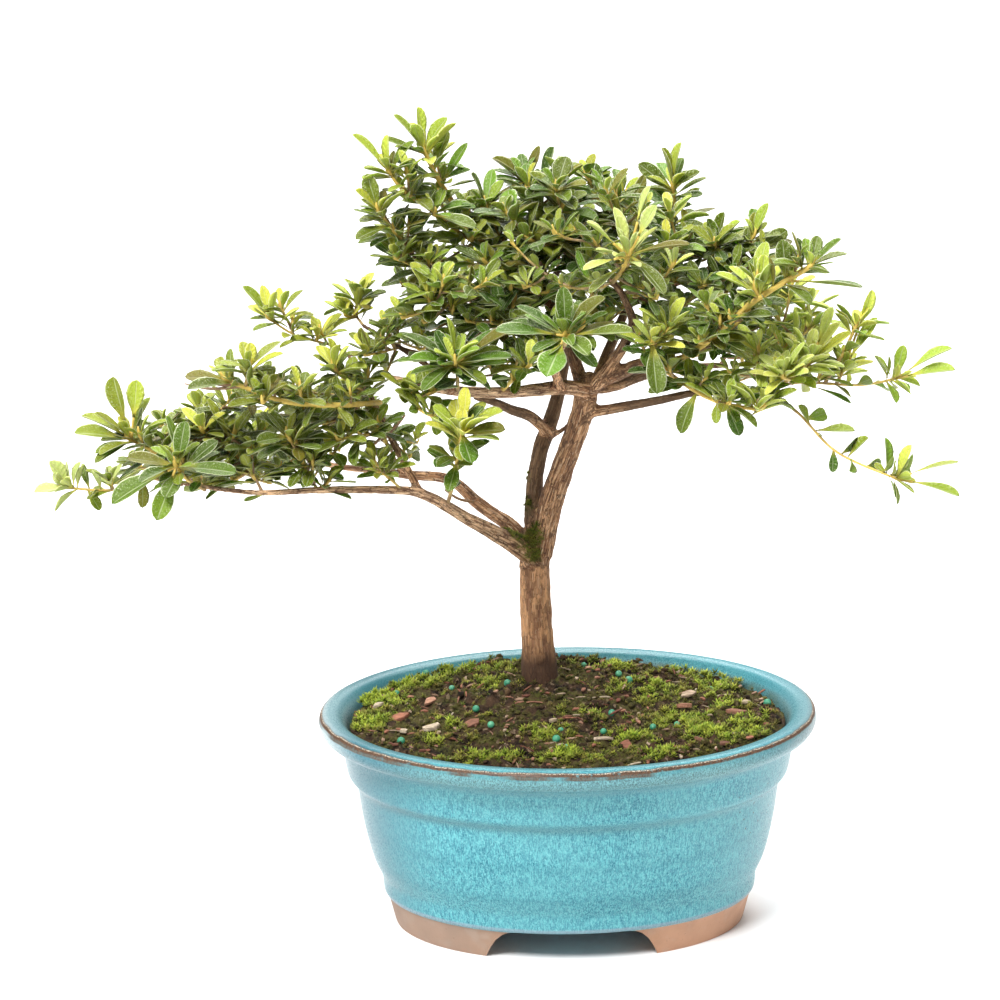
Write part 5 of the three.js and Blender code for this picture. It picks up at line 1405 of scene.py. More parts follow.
def build_soil():
    angles = ring_angles(SOIL_SIDES)
    bottom = FLOOR_TOP + SOIL_GAP
    vertices = [(0, 0, bottom)]
    for inset, height in reversed(INNER_WALL):
        vertices += oval_ring(RIM_HALF_LENGTH - inset - SOIL_GAP, max(height, bottom), angles)
    edge_depth = oval_depth(SOIL_EDGE_RADIUS)
    for ring in range(SOIL_RINGS, 0, -1):
        share = ring / SOIL_RINGS
        dip = SOIL_EDGE_DIP * float(smooth_step(share, 0.93, 1))
        for a in angles:
            x = SOIL_EDGE_RADIUS * share * math.cos(a)
            y = edge_depth * share * math.sin(a)
            vertices.append((x, y, ground(x, y) - dip))
    vertices.append((0, 0, ground(0, 0)))
    batch = Batch()
    rings = len(INNER_WALL) + SOIL_RINGS
    batch.add(vertices, *ring_faces(SOIL_SIDES, rings, 1, 0, len(vertices) - 1))
    settle(batch.build("soil_bed", [SOIL]), "soil", "soil")


def unit_lump(rounds):
    """An icosphere of radius 1 as arrays."""
    shape = bmesh.new()
    bmesh.ops.create_icosphere(shape, subdivisions=rounds, radius=1)
    shape.verts.ensure_lookup_table()
    points = np.array([v.co for v in shape.verts])
    faces = [[v.index for v in face.verts] for face in shape.faces]
    shape.free()
    return points, faces


def random_turn(chance):
    return np.array(Matrix.Rotation(chance.uniform(0, 6.28), 3, Vector((
        chance.uniform(-1, 1), chance.uniform(-1, 1), chance.uniform(-1, 1) + 0.01,
    )).normalized()))


def on_soil(chance, reach=0.97):
    """A random spot on the soil, clear of the trunk, in the pot's oval."""
    depth = oval_depth(SOIL_EDGE_RADIUS)
    while True:
        x = chance.uniform(-1, 1)
        y = chance.uniform(-1, 1)
        at = (x * SOIL_EDGE_RADIUS, y * depth)
        from_trunk = math.hypot(at[0] - TRUNK_FOOT.x, at[1] - TRUNK_FOOT.y)
        if math.hypot(x, y) < reach and from_trunk > 9:
            return at


def lump(batch, chance, template, sizes, widths, heights, darkening):
    """An uneven lump, half sunk at a random spot on the soil."""
    points, faces = template
    size = chance.uniform(*sizes)
    stretch = np.array([1, chance.uniform(*widths), chance.uniform(*heights)])
    at = on_soil(chance)
    look = (0, chance.random() ** darkening, 0, 0)
    rough = np.array([chance.uniform(0.78, 1.2) for _ in points])
    shaped = (points * rough[:, None] * stretch * size) @ random_turn(chance).T
    batch.add(shaped + np.array([*at, ground(*at) + size * 0.2]), triangles=faces, look=look)


def build_grit():
    """Loose crumbs and small lumps on the soil."""
    chance = random.Random(11)
    batch = Batch()
    small, bigger = unit_lump(1), unit_lump(2)
    for _ in range(CRUMB_COUNT):
        lump(batch, chance, small, (0.45, 1.15), (0.6, 1), (0.5, 0.9), 2)
    for _ in range(STONE_COUNT):
        lump(batch, chance, bigger, (1.1, 2.1), (0.6, 0.95), (0.45, 0.8), 1.5)
    settle(batch.build("soil_crumbs", [SOIL]), "soil")


def chip(batch, chance, x, y, length, width, turn, tan, thickness):
    """A bark flake: a thin block with an uneven outline, a bowed top and worn edges."""
    outline = []
    for k in range(CHIP_CORNERS):
        a = (k + chance.uniform(-0.3, 0.3)) * FULL_TURN / CHIP_CORNERS
        reach = chance.uniform(0.78, 1.2)
        outline.append((0.48 * length * reach * math.cos(a), 0.48 * width * reach * math.sin(a)))
    vertices = []
    for level, share in CHIP_LEVELS:
        for px, py in outline:
            bow = 0.3 * (1 - (2 * px / length) ** 2) + 0.12 * math.sin(py * 3)
            vertices.append((px * share, py * share, level * thickness + bow))
    ends = len(vertices)
    vertices += [(0, 0, -0.5 * thickness + 0.3), (0, 0, 0.5 * thickness + 0.3)]
    quads, triangles = ring_faces(CHIP_CORNERS, len(CHIP_LEVELS), 0, ends, ends + 1)
    tilt = Matrix.Rotation(turn, 3, "Z") @ Matrix.Rotation(chance.uniform(-0.3, 0.3), 3, "X")
    tilt = tilt @ Matrix.Rotation(chance.uniform(-0.25, 0.15), 3, "Y")
    shaped = np.array(vertices) @ np.array(tilt).T
    middle = np.array([x, y, ground(x, y) + 0.8 * thickness])
    batch.add(shaped + middle, quads, triangles, look=(tan, chance.random(), 0, 0))


def build_chips():
    chance = random.Random(21)

    def finish(batch, name, *nodes):
        piece = batch.build(name, [CHIP])
        piece.data.set_sharp_from_angle(angle=CHIP_SHARP_ANGLE)
        settle(piece, "bark_chip", *nodes)

    for i, place_and_look in enumerate(CHIPS, 1):
        batch = Batch()
        chip(batch, chance, *place_and_look, CHIP_THICKNESS)
        finish(batch, f"bark_flake_{i}", f"bark_chip_{i}")
    batch = Batch()
    for x, y, length, width, turn, tan in LOOSE_CHIPS:
        length, width = length * LOOSE_CHIP_SCALE, width * LOOSE_CHIP_SCALE
        chip(batch, chance, x, y, length, width, turn, tan, LOOSE_CHIP_THICKNESS)
    for _ in range(SPLINTER_COUNT):
        x, y = on_soil(chance)
        length = chance.uniform(1.6, 4.2)
        width = length * chance.uniform(0.25, 0.6)
        turn = chance.uniform(0, 3.1)
        chip(batch, chance, x, y, length, width, turn, chance.random() ** 4, SPLINTER_THICKNESS)
    for _ in range(SLIVER_COUNT):
        x, y = on_soil(chance)
        length, width, turn = chance.uniform(3.5, 9), chance.uniform(0.5, 0.9), chance.uniform(0, 3.1)
        chip(batch, chance, x, y, length, width, turn, chance.random() ** 2, SLIVER_THICKNESS)
    finish(batch, "bark_litter")


def build_beads():
    chance = random.Random(31)
    points, faces = unit_lump(3)

    def bead(batch, x, y, radius):
        dents = [1 + BEAD_DENT * noise.noise(Vector(p) * 2.2 + Vector((x, y, 0))) for p in points]
        middle = np.array([x, y, ground(x, y) + 0.75 * radius])
        shaped = points * np.array(dents)[:, None] * radius
        batch.add(shaped + middle, triangles=faces, look=(0, chance.random(), 0, 0))

    for i, (x, y) in enumerate(BEADS, 1):
        batch = Batch()
        bead(batch, x, y, BEAD_RADIUS)
        settle(batch.build(f"feed_granule_{i}", [BEAD]), "feed_bead", f"feed_bead_{i}")
    batch = Batch()
    for x, y in LOOSE_BEADS:
        bead(batch, x, y, BEAD_RADIUS * chance.uniform(0.7, 0.95))
    settle(batch.build("feed_granules_loose", [BEAD]), "feed_bead")


# Moss
def moss_share(x, y):
    """How thickly moss grows at a spot, with ragged edges to its patches."""
    ragged = 0.55 * noise.noise(Vector((x * 0.12, y * 0.12, 9.3)))
    ragged += 0.35 * noise.noise(Vector((x * 0.4, y * 0.4, 2.3)))
    best = 0.0
    for middle_x, middle_y, half_width, half_depth, strength in MOSS_PATCHES:
        away = math.hypot((x - middle_x) / half_width, (y - middle_y) / half_depth)
        best = max(best, strength * (1.25 - away))
    return best + ragged


def star(batch, chance, spot, size, bright):
    """A star of pointed leaves, each a slim three-sided spike, round a short stem."""
    spikes = chance.randint(7, 10)
    middle = np.array(spot)
    turn = chance.uniform(0, 6.28)
    vertices = []
    triangles = []
    looks = []
    luck = chance.random()
    for k in range(spikes):
        angle = turn + k * 2.4
        lean = 0.35 + 0.95 * (k + 0.5) / spikes
        outward = np.array([math.cos(angle), math.sin(angle), 0.0])
        direction = outward * math.sin(lean) + np.array([0, 0, math.cos(lean)])
        across = np.array([-math.sin(angle), math.cos(angle), 0.0])
        top = np.cross(direction, across)
        length = size * chance.uniform(0.8, 1.15)
        root = middle + np.array([0, 0, size * 0.35 * (1 - k / spikes)])
        wide = 0.17 * size
        first = len(vertices)
        vertices += [
            root,
            root + direction * length * 0.45 + across * wide,
            root + direction * length * 0.45 - across * wide,
            root + direction * length * 0.45 - top * wide * 0.6,
            root + direction * length + outward * 0.12 * length,
        ]
        a, b, c, d, tip = range(first, first + 5)
        triangles += [(a, b, c), (a, c, d), (a, d, b), (b, tip, c), (c, tip, d), (d, tip, b)]
        looks += [(0.0, luck, bright, 0)] + [(0.55, luck, bright, 0)] * 3 + [(1.0, luck, bright, 0)]
    batch.add(vertices, triangles=triangles, look=np.array(looks))


def is_open(x, y):
    """Whether no large chip or bead lies here."""
    chips = all(math.hypot(x - chip[0], y - chip[1]) > 0.5 * chip[2] for chip in CHIPS + LOOSE_CHIPS)
    return chips and all(math.hypot(x - bead[0], y - bead[1]) > 2.2 for bead in BEADS + LOOSE_BEADS)


def build_moss():
    for side, sign in (("left", -1), ("right", 1)):
        chance = random.Random(41 + sign)
        batch = Batch()
        made = 0
        while made < TUFT_COUNT:
            x, y = on_soil(chance, 0.985)
            share = moss_share(x, y)
            if (x - MOSS_SPLIT) * sign > 0 and chance.random() < share * 1.1 and is_open(x, y):
                size = 1.1 + 1.5 * held(share) * chance.uniform(0.5, 1.25)
                bright = held(share * 1.1 - 0.35 + chance.gauss(0, 0.25))
                star(batch, chance, (x, y, ground(x, y) - 0.2), size, bright)
                made += 1
        settle(batch.build(f"soil_moss_{side}", [MOSS]), "soil")


def build_screens():
    """Square plates of crossed strands that lie over the drain holes, under the soil."""
    step = (SCREEN_SIZE - 1.6) / (SCREEN_STRANDS - 1)
    reach = SCREEN_SIZE / 2 - 0.1
    middle = FLOOR_TOP + SCREEN_LIFT + SCREEN_THICKNESS / 2
    for name, at in (("left", -DRAIN_HOLE_X), ("right", DRAIN_HOLE_X)):
        batch = Batch()
        for k in range(SCREEN_STRANDS):
            offset = (k - (SCREEN_STRANDS - 1) / 2) * step
            for ends, lift in (
                ([(at - reach, offset), (at + reach, offset)], -STRAND_WEAVE),
                ([(at + offset, -reach), (at + offset, reach)], STRAND_WEAVE),
            ):
                route = [Vector((x, y, middle + lift)) for x, y in ends]
                batch.add(*tube(route, [STRAND_RADIUS, STRAND_RADIUS], 8))
        settle(batch.build(f"drain_mesh_{name}", [SCREEN]), "screen_plastic", f"drain_screen_{name}")


# Wood
def limb_samples():
    """Points down the middle of every limb with their directions, for the grain of the bark."""
    samples = []
    for index, limb in enumerate(LIMBS):
        points, radii = limb_route(limb, 1.5)
        travelled = 0.0
        for i, (_, side, other) in enumerate(route_frames(points)):
            if i:
                travelled += (points[i] - points[i - 1]).length
            own_tone = LIMB_TONES.get(index, USUAL_TONE)
            tone = ROOT_TONE + (own_tone - ROOT_TONE) * min(travelled / TONE_REACH + 0.1, 1)
            samples.append((points[i], side, other, radii[i], travelled + GRAIN_STEP * index, tone))
    return samples


def bark_ridges(grain, radius):
    """Ridges that run up the limb, and flakes on the thick wood, as a height from -1 to 1."""
    across, around, along = grain
    ridge = noise.noise(Vector((across * 0.5, around * 0.5, along * 0.06)))
    fibre = noise.noise(Vector((across * 1.15, around * 1.15, along * 0.14)) + Vector((5, 0, 0)))
    knots = noise.noise(Vector((across * 0.22, around * 0.22, along * 0.2)) + Vector((0, 9, 0)))
    slender = min(max((7 - radius) / 2, 0.45), 1)
    return slender * (0.95 * ridge + 0.5 * fibre) + 0.7 * knots


def build_wood():
    """The bark: one skin round all limbs, raised into ridges along their grain. Gives its points for the moss."""
    batch = Batch()
    for limb in LIMBS:
        batch.add(*tube(*limb_route(limb, 2.0), LIMB_SIDES))
    wood = batch.build("azalea_wood", [BARK])
    remesh = wood.modifiers.new("fuse", "REMESH")
    remesh.mode = "VOXEL"
    remesh.voxel_size = BARK_VOXEL * MM
    smooth = wood.modifiers.new("ease", "SMOOTH")
    smooth.factor = 0.5
    smooth.iterations = 3
    apply_modifiers(wood)
    mesh = wood.data
    samples = limb_samples()
    tree = kdtree.KDTree(len(samples))
    for i, sample in enumerate(samples):
        tree.insert(sample[0], i)
    tree.balance()
    points = mesh_points(mesh)
    normals = np.empty(len(mesh.vertices) * 3)
    mesh.vertices.foreach_get("normal", normals)
    normals = normals.reshape(-1, 3)
    mossy = [(np.array(place(spot)), spot[3]) for spot in MOSSY_SPOTS]
    grains = np.empty((len(points), 3))
    looks = np.empty((len(points), 4))
    noise.seed_set(JOINT_SEED)
    for k, point in enumerate(points):
        spot = Vector(point)
        jitter = noise.noise_vector(spot * 0.45) * JOINT_BLUR
        middle, side, other, radius, travelled, tone = samples[tree.find(spot + jitter)[1]]
        away = spot - middle
        grains[k] = away.dot(side), away.dot(other), travelled
        height = bark_ridges((away.dot(side), away.dot(other), travelled), radius)
        moss = max(1 - np.linalg.norm(point - at) / reach for at, reach in mossy)
        looks[k] = (min(radius / 7, 1), tone, min(max(moss, 0) * 2.2, 1), 0.5 + 0.5 * height)
        points[k] += normals[k] * height * min(0.1 * radius, 0.62)
    mesh.vertices.foreach_set("co", (points * MM + POT_CENTRE).ravel())
    if "look" in mesh.attributes:
        mesh.attributes.remove(mesh.attributes["look"])
    set_attribute(mesh, "look", "FLOAT_COLOR", looks)
    set_attribute(mesh, "bark_place", "FLOAT_VECTOR", grains)
    mesh.shade_smooth()
    mesh.polygons.foreach_set("material_index", [0] * len(mesh.polygons))
    mesh.materials.clear()
    mesh.materials.append(BARK)
    mesh.update()
    settle(wood, "bark", "wood")
    return points, normals, looks[:, 2]


def build_wood_moss(points, normals, moss):
    """Small tufts on the bark, in the crotch of the trunk and up the side of one riser."""
    chance = random.Random(51)
    batch = Batch()
    shaded = np.where(normals[:, 0] > 0.35, 0.15, 1.0)
    weights = (moss ** 1.5 * shaded).tolist()
    for k in chance.choices(range(len(points)), weights, k=WOOD_MOSS_COUNT):
        spot = Vector(points[k] + normals[k] * 0.1)
        star(batch, chance, spot, chance.uniform(0.8, 1.8), chance.uniform(0.0, 0.5))
    settle(batch.build("wood_moss_stars", [MOSS]), "bark")


# Leaves
class LeafGrid:
    """One closed leaf as a net of faces: an upper and an under side that share their margin."""

    def __init__(self, stations, columns):
        rows, across = len(stations), len(columns)
        top = np.arange(rows * across).reshape(rows, across)
        under = top.copy()
        inner = (rows - 2) * (across - 2)
        under[1:-1, 1:-1] = rows * across + np.arange(inner).reshape(rows - 2, across - 2)
        quads = []
        for i in range(rows - 1):
            for j in range(across - 1):
                quads.append((top[i, j], top[i, j + 1], top[i + 1, j + 1], top[i + 1, j]))
                quads.append((under[i, j], under[i + 1, j], under[i + 1, j + 1], under[i, j + 1]))
        grid_s, grid_t = np.meshgrid(stations, columns, indexing="ij")
        self.quads = np.array(quads)
        self.s = np.concatenate([grid_s.ravel(), grid_s[1:-1, 1:-1].ravel()])
        self.t = np.concatenate([grid_t.ravel(), grid_t[1:-1, 1:-1].ravel()])
        self.upper = np.concatenate([np.ones(grid_s.size), np.zeros(inner)])
        self.size = len(self.s)


FINE_GRID = LeafGrid([0, 0.1, 0.26, 0.42, 0.58, 0.73, 0.86, 0.95, 1], [-1, -0.84, -0.42, 0, 0.42, 0.84, 1])
COARSE_GRID = LeafGrid([0, 0.18, 0.42, 0.64, 0.83, 0.95, 1], [-1, -0.6, 0, 0.6, 1])


def blade_width(s):
    """Spoon-shaped outline: how wide the leaf is, as a share of its widest, this far along."""
    rise = PETIOLE_SHARE + (1 - PETIOLE_SHARE) * np.sin(np.clip(s / WIDEST_AT, 0, 1) * math.pi / 2) ** 1.9
    fall = np.clip(1 - ((s - WIDEST_AT) / (1 - WIDEST_AT)) ** 2, 0, 1) ** 0.52
    return np.maximum(np.where(s < WIDEST_AT, rise, fall), TIP_SHARE)


def add_leaf(batch, chance, base, direction, face, length, width, curl, age):
    """One leaf blade from its root: folded along the rib, curved down to the tip, with a wavy margin."""
    habits = batch.habits
    along = direction.normalized()
    across = along.cross(face).normalized()
    face = across.cross(along)
    twist = Matrix.Rotation(chance.gauss(0, 0.16), 3, along)
    across, face = twist @ across, twist @ face
    root = np.array(base)
    out_left = held((-root[0] - LEFT_FROM) / LEFT_OVER)
    # On the far left the age is lifted: painted light on that side of the crown
    age = held(age + habits["brightness"] + LEFT_PAINTED_LIGHT * out_left)
    grid = COARSE_GRID if length < SMALL_LEAF else FINE_GRID
    s, t, upper = grid.s, grid.t, grid.upper
    half = 0.5 * width * habits["slimness"] * blade_width(s)
    if age > 0.5:
        age += habits["paleness"]
    fold = chance.uniform(0.2, 0.62) + 0.2 * min(age, 1)
    bend = curl * chance.uniform(0.5, 2.2)
    waves = chance.uniform(0.02, 0.09) * half * np.sin(s * chance.uniform(5, 9) + chance.uniform(0, 6))
    side_bend = chance.gauss(0, 0.035) * length
    height = fold * half * np.abs(t) ** 1.3
    height -= 1.12 * half * np.clip(np.abs(t) - 0.6, 0, 1) ** 2 * chance.uniform(0.2, 0.8)
    height += waves * t ** 2 * np.sign(t + 0.01)
    height -= bend * length * s ** 2
    height += 0.25 * bend * length * s
    height -= BLADE_THICKNESS * (1 - upper) * np.clip(half / 2, 0.3, 1)
    height -= upper * (np.abs(t) < 0.01) * 0.14 * np.clip(half, 0, 1)
    sideways = t * half + side_bend * s ** 2
    spread = np.outer(s * length, along) + np.outer(sideways, across) + np.outer(height, face)
    while not fits(root + spread):
        spread = spread * 0.94
    tone = chance.random()
    warm_left = LEFT_WARMTH * out_left
    warmth = (tone * WARMTH_SHUFFLE % 1 * (1 - warm_left) + warm_left) * habits["warmth_share"]
    looks = np.empty((grid.size, 4))
    looks[:] = age, tone, 0, warmth
    looks[:, 2] = upper
    batch.add(root + spread, grid.quads, look=looks, places=np.stack([t, s], axis=1))


def fits(points):
    """Whether the points stay inside the box of the whole object."""
    return bool((points > BOX_LOW).all() and (points < BOX_HIGH).all())


def leaf_ratio(chance, length):
    """Long leaves are narrow, small ones rounder."""
    return chance.uniform(0.8, 1.2) * (0.31 + 0.13 * min(max((20 - length) / 10, 0), 1))


# Sprays
def nearest_on(points, target):
    best = None
    for start, end in zip(points, points[1:]):
        line = end - start
        share = min(max((target - start).dot(line) / line.length_squared, 0), 1)
        spot = start + line * share
        distance = (spot - target).length
        if best is None or distance < best["distance"]:
            best = {"distance": distance, "spot": spot, "heading": line.normalized(), "start": start}
    return best


def nearest_of(routes, target):
    return min((nearest_on(route, target) for route in routes), key=lambda found: found["distance"])


def twig_route(near, tip):
    set_back = min(near["distance"] * TWIG_FORK_SETBACK, (near["spot"] - near["start"]).length)
    start = near["spot"] - near["heading"] * set_back
    bend = start.lerp(tip, TWIG_BEND_AT) - RISE * TWIG_SAG * near["distance"]
    return [start, bend, tip]


def add_stem(batch, points, radii, youth, sides=TWIG_SIDES):
    """A round young stem, slightly knobbly where leaves have stood."""
    fine, fine_radii = smooth_route(points, radii, 2.2)
    knobbly = [r * (1 + 0.07 * math.sin(i * 1.9)) for i, r in enumerate(fine_radii)]
    share = np.concatenate([np.repeat(np.linspace(0, 1, len(fine)), sides), [0, 1]])
    looks = np.zeros((len(share), 4))
    looks[:, 0] = youth[0] + (youth[1] - youth[0]) * share
    looks[:, 1] = 0.3 * youth[1]
    looks[:, 3] = share
    batch.add(*tube(fine, knobbly, sides), look=looks, slot=1)


def new_rosette(centre, heading, rise, length, age):
    """A rosette's place, the way its axis turns up from the shoot, and two directions square to the axis."""
    axis = (heading + RISE * rise).normalized()
    side = axis.cross(SHEET_RIGHT).normalized()
    return {
        "centre": centre, "heading": heading, "axis": axis, "side": side, "other": axis.cross(side),
        "length": length, "age": age,
    }


def rosette_leaf(batch, chance, rosette, angle, spread, length, low, age):
    outward = rosette["side"] * math.cos(angle) + rosette["other"] * math.sin(angle)
    add_leaf(
        batch,
        chance,
        base=rosette["centre"] - rosette["heading"] * low + outward * 0.3,
        direction=rosette["axis"] * math.cos(spread) + outward * math.sin(spread),
        face=rosette["axis"] - outward * 0.35,
        length=length,
        width=length * leaf_ratio(chance, length),
        curl=0.12,
        age=age,
    )


def skirt_leaves(batch, chance, draw, rosette, start, count):
    """The wide open leaves low on a rosette, where the plain solids have theirs."""
    age = rosette["age"]
    for n in range(count):
        step = OPENING_STEP if n % 2 else -OPENING_STEP
        spread = math.radians(SKIRT_OPENING[age] + step + OPENING_VARIATION * (draw() - 0.5))
        length = SKIRT_LENGTH * rosette["length"] * (SHORTEST_SHARE + LENGTH_VARIATION * draw())
        angle = start + n / count * FULL_TURN + SWAY * (draw() - 0.5)
        rosette_leaf(batch, chance, rosette, angle, spread, length, LEAF_STEP * n + ROOT_SETBACK, AGE_LOOK[age])


def upright_leaves(batch, chance, rosette, start, count):
    """The leaves of a rosette from its open skirt up to the bud."""
    widest = WIDEST_OPENING[rosette["age"]]
    for n in range(count):
        share = (n + 0.5) / count
        spread = math.radians(widest - (widest - BUD_OPENING) * share + chance.uniform(-9, 9))
        length = rosette["length"] * (0.9 - 0.42 * share ** 1.5) * chance.uniform(0.8, 1.08)
        angle = start + n * GOLDEN_ANGLE + chance.uniform(-0.2, 0.2)
        low = (1 - share) * 5.5 + 0.3
        age = AGE_LOOK[rosette["age"]] + 0.6 * share ** 2 + chance.uniform(-0.1, 0.12)
        rosette_leaf(batch, chance, rosette, angle, spread, length, low, held(age))


def rosette_heart(batch, rosette):
    """The bud at the heart of a rosette, where the roots of its leaves clasp the stem."""
    centre = rosette["centre"]
    size = min(rosette["length"] / 18, 1.1)
    points = [centre - rosette["heading"] * 4 * size, centre, centre + rosette["axis"] * 3.4 * size]
    add_stem(batch, points, [0.5 * size, 0.95 * size, 0.3 * size], (0.55, 0.85))


def lone_leaf(batch, chance, draw, routes, leaf):
    """A leaf that can be told apart in the picture, from its place on a stem to its tip."""
    from_across, from_up, to_across, to_up, back, age = leaf
    near = nearest_of(routes, place((from_across, from_up, back)))
    base = near["spot"] - near["heading"] * ROOT_SETBACK
    tip = place((to_across, to_up, back))
    line = tip - base
    if line.length > LONGEST_LEAF[age]:
        root = tip - line.normalized() * LONGEST_LEAF[age]
        add_stem(batch, [base, base.lerp(root, 0.6), root], [0.6, 0.55, 0.5], (0.5, 0.9))
        base, line = root, tip - root
    length = line.length
    breadth = BREADTHS.get((to_across, to_up), USUAL_BREADTH)
    add_leaf(
        batch,
        chance,
        base=base,
        direction=line,
        face=RISE + TOWARD_VIEWER * FACE_TO_VIEWER + SHEET_RIGHT * (draw() - 0.5),
        length=length,
        width=min(length, WIDEST_LEAF_LENGTH) * leaf_ratio(chance, length) * breadth,
        curl=0.08,
        age=held(AGE_LOOK[age] + chance.uniform(-0.06, 0.06)),
    )


def stem_leaves(batch, chance, route, first_share):
    """Leaves in a spiral along a stem, closer together towards its tip."""
    fine, frames = fine_route(route)
    last = len(fine) - 1
    angle = chance.uniform(0, 6)
    at = max(first_share * last, 3)
    while at < last - 1:
        i = int(at)
        share = i / last
        forward = frames[i][0]
        angle += GOLDEN_ANGLE + chance.uniform(-0.25, 0.25)
        outward = outward_of(frames[i], angle)
        spread = math.radians(chance.uniform(48, 72))
        direction = forward * math.cos(spread) + outward * math.sin(spread) + RISE * 0.3
        length = batch.habits["leaf_length"] * chance.uniform(0.45, 0.85)
        if direction.z > -0.45:
            add_leaf(
                batch,
                chance,
                base=fine[i] - forward * 0.5,
                direction=direction,
                face=forward * 0.6 + RISE * 0.6 - outward * 0.2,
                length=length,
                width=length * leaf_ratio(chance, length),
                curl=0.1,
                age=min(max(chance.gauss(0.2, 0.14), 0), 0.75),
            )
        at += chance.uniform(1.6, 3.0) * (1.5 - 0.6 * share) / batch.habits["fullness"]


def side_shoots(chance, route, fullness):
    """Short shoots off a stem, each with its own small rosette."""
    fine, frames = fine_route(route)
    last = len(fine) - 1
    shoots = []
    at = max(0.3 * last, 7)
    turn = chance.choice((0, math.pi))
    while at < last - 4:
        i = int(at)
        forward = frames[i][0]
        turn += math.pi * 0.8 + chance.uniform(-0.5, 0.5)
        outward = outward_of(frames[i], turn)
        lean = forward * 0.75 + outward * 0.75 + RISE * 0.55
        reach = chance.uniform(6, 13)
        if outward.z > -0.6:
            tip = fine[i] + lean.normalized() * reach
            shoots.append([fine[i] - forward * 0.5, fine[i].lerp(tip, 0.5) + outward * 0.8, tip])
        at += chance.uniform(7, 12) / fullness
    return shoots


def inside_outline(outline, across, up):
    odd = False
    for (a, b), (c, d) in zip(outline, outline[1:] + outline[:1]):
        if (b > up) != (d > up) and across < (c - a) * (up - b) / (d - b) + a:
            odd = not odd
    return odd


def outline_distance(outline, across, up):
    spot = Vector((across, up, 0))
    ends = [Vector((a, b, 0)) for a, b in outline]
    return nearest_on(ends + ends[:1], spot)["distance"]


def fill_tips(chance, outline, middle, half_depth, spacing):
    """Evenly scattered points inside one part of the crown, thinner in depth towards its outline."""
    acrosses, ups = zip(*outline)
    tips = []
    for _ in range(FILL_TRIES):
        across, up = chance.uniform(min(acrosses), max(acrosses)), chance.uniform(min(ups), max(ups))
        side = chance.uniform(-1, 1)
        if not inside_outline(outline, across, up):
            continue
        depth = half_depth * math.sqrt(min(outline_distance(outline, across, up) / FILL_EDGE, 1))
        tip = place((across, up, middle + side * depth))
        if all((tip - other).length > spacing for other in tips):
            tips.append(tip)
    return tips


def plan_fill():
    """Small shoots that branch from the nearest stem, nearest first, so that they grow as a tree does."""
    chance = random.Random(77)
    tips = [tip for fill in FILLS for tip in fill_tips(chance, *fill)]
    routes = [(placed(stem), index) for index, spray in enumerate(SPRAYS) for stem in spray["stems"]]
    planned = [[] for _ in SPRAYS]
    first_routes = [route for route, _ in routes]
    waiting = [(nearest_of(first_routes, tip)["distance"], k, tip) for k, tip in enumerate(tips)]
    for _, _, tip in sorted(waiting):
        found = [(nearest_on(route, tip), owner) for route, owner in routes]
        near, owner = min(found, key=lambda pair: pair[0]["distance"])
        if FILL_CLEARANCE < near["distance"] < FILL_REACH:
            twig = twig_route(near, tip)
            routes.append((twig, owner))
            planned[owner].append(twig)
    return planned


def add_whorl(batch, whorl, stems, twigs, golden):
    """The rosette of a whorl, on its stem or at the end of a new twig from it."""
    across, up, back, _, length, age = whorl
    tip = place((across, up, back))
    near = nearest_of(stems, tip)
    heading, centre = near["heading"], near["spot"]
    if near["distance"] > GAP_FOR_TWIG:
        twig = twig_route(near, tip)
        twigs.append(twig)
        add_stem(batch, twig, [TWIG_RADIUS, TWIG_RADIUS, TWIG_TIP_RADIUS], (0.3, 0.4 + 0.4 * golden))
        heading, centre = (tip - twig[1]).normalized(), tip
    rise = TRAILING_RISE if batch.habits["trailing"] else ROSETTE_RISE
    return new_rosette(centre, heading, rise, length, age)


def add_shoot(batch, chance, shoot):
    """A short shoot with a small rosette at its tip, and leaves along it where it is long."""
    start, bend, tip = shoot
    age = chance.choice((OLD, OLD, OLD, MID))
    add_stem(batch, shoot, [0.55, 0.5, 0.45], (0.0, 0.7))
    if (tip - start).length > LONG_SHOOT:
        stem_leaves(batch, chance, shoot, 0.3)
    rosette = new_rosette(tip, (tip - bend).normalized(), ROSETTE_RISE, chance.uniform(12, 19), age)
    rosette_heart(batch, rosette)
    upright_leaves(batch, chance, rosette, chance.uniform(0, 6), chance.randint(7, 10))


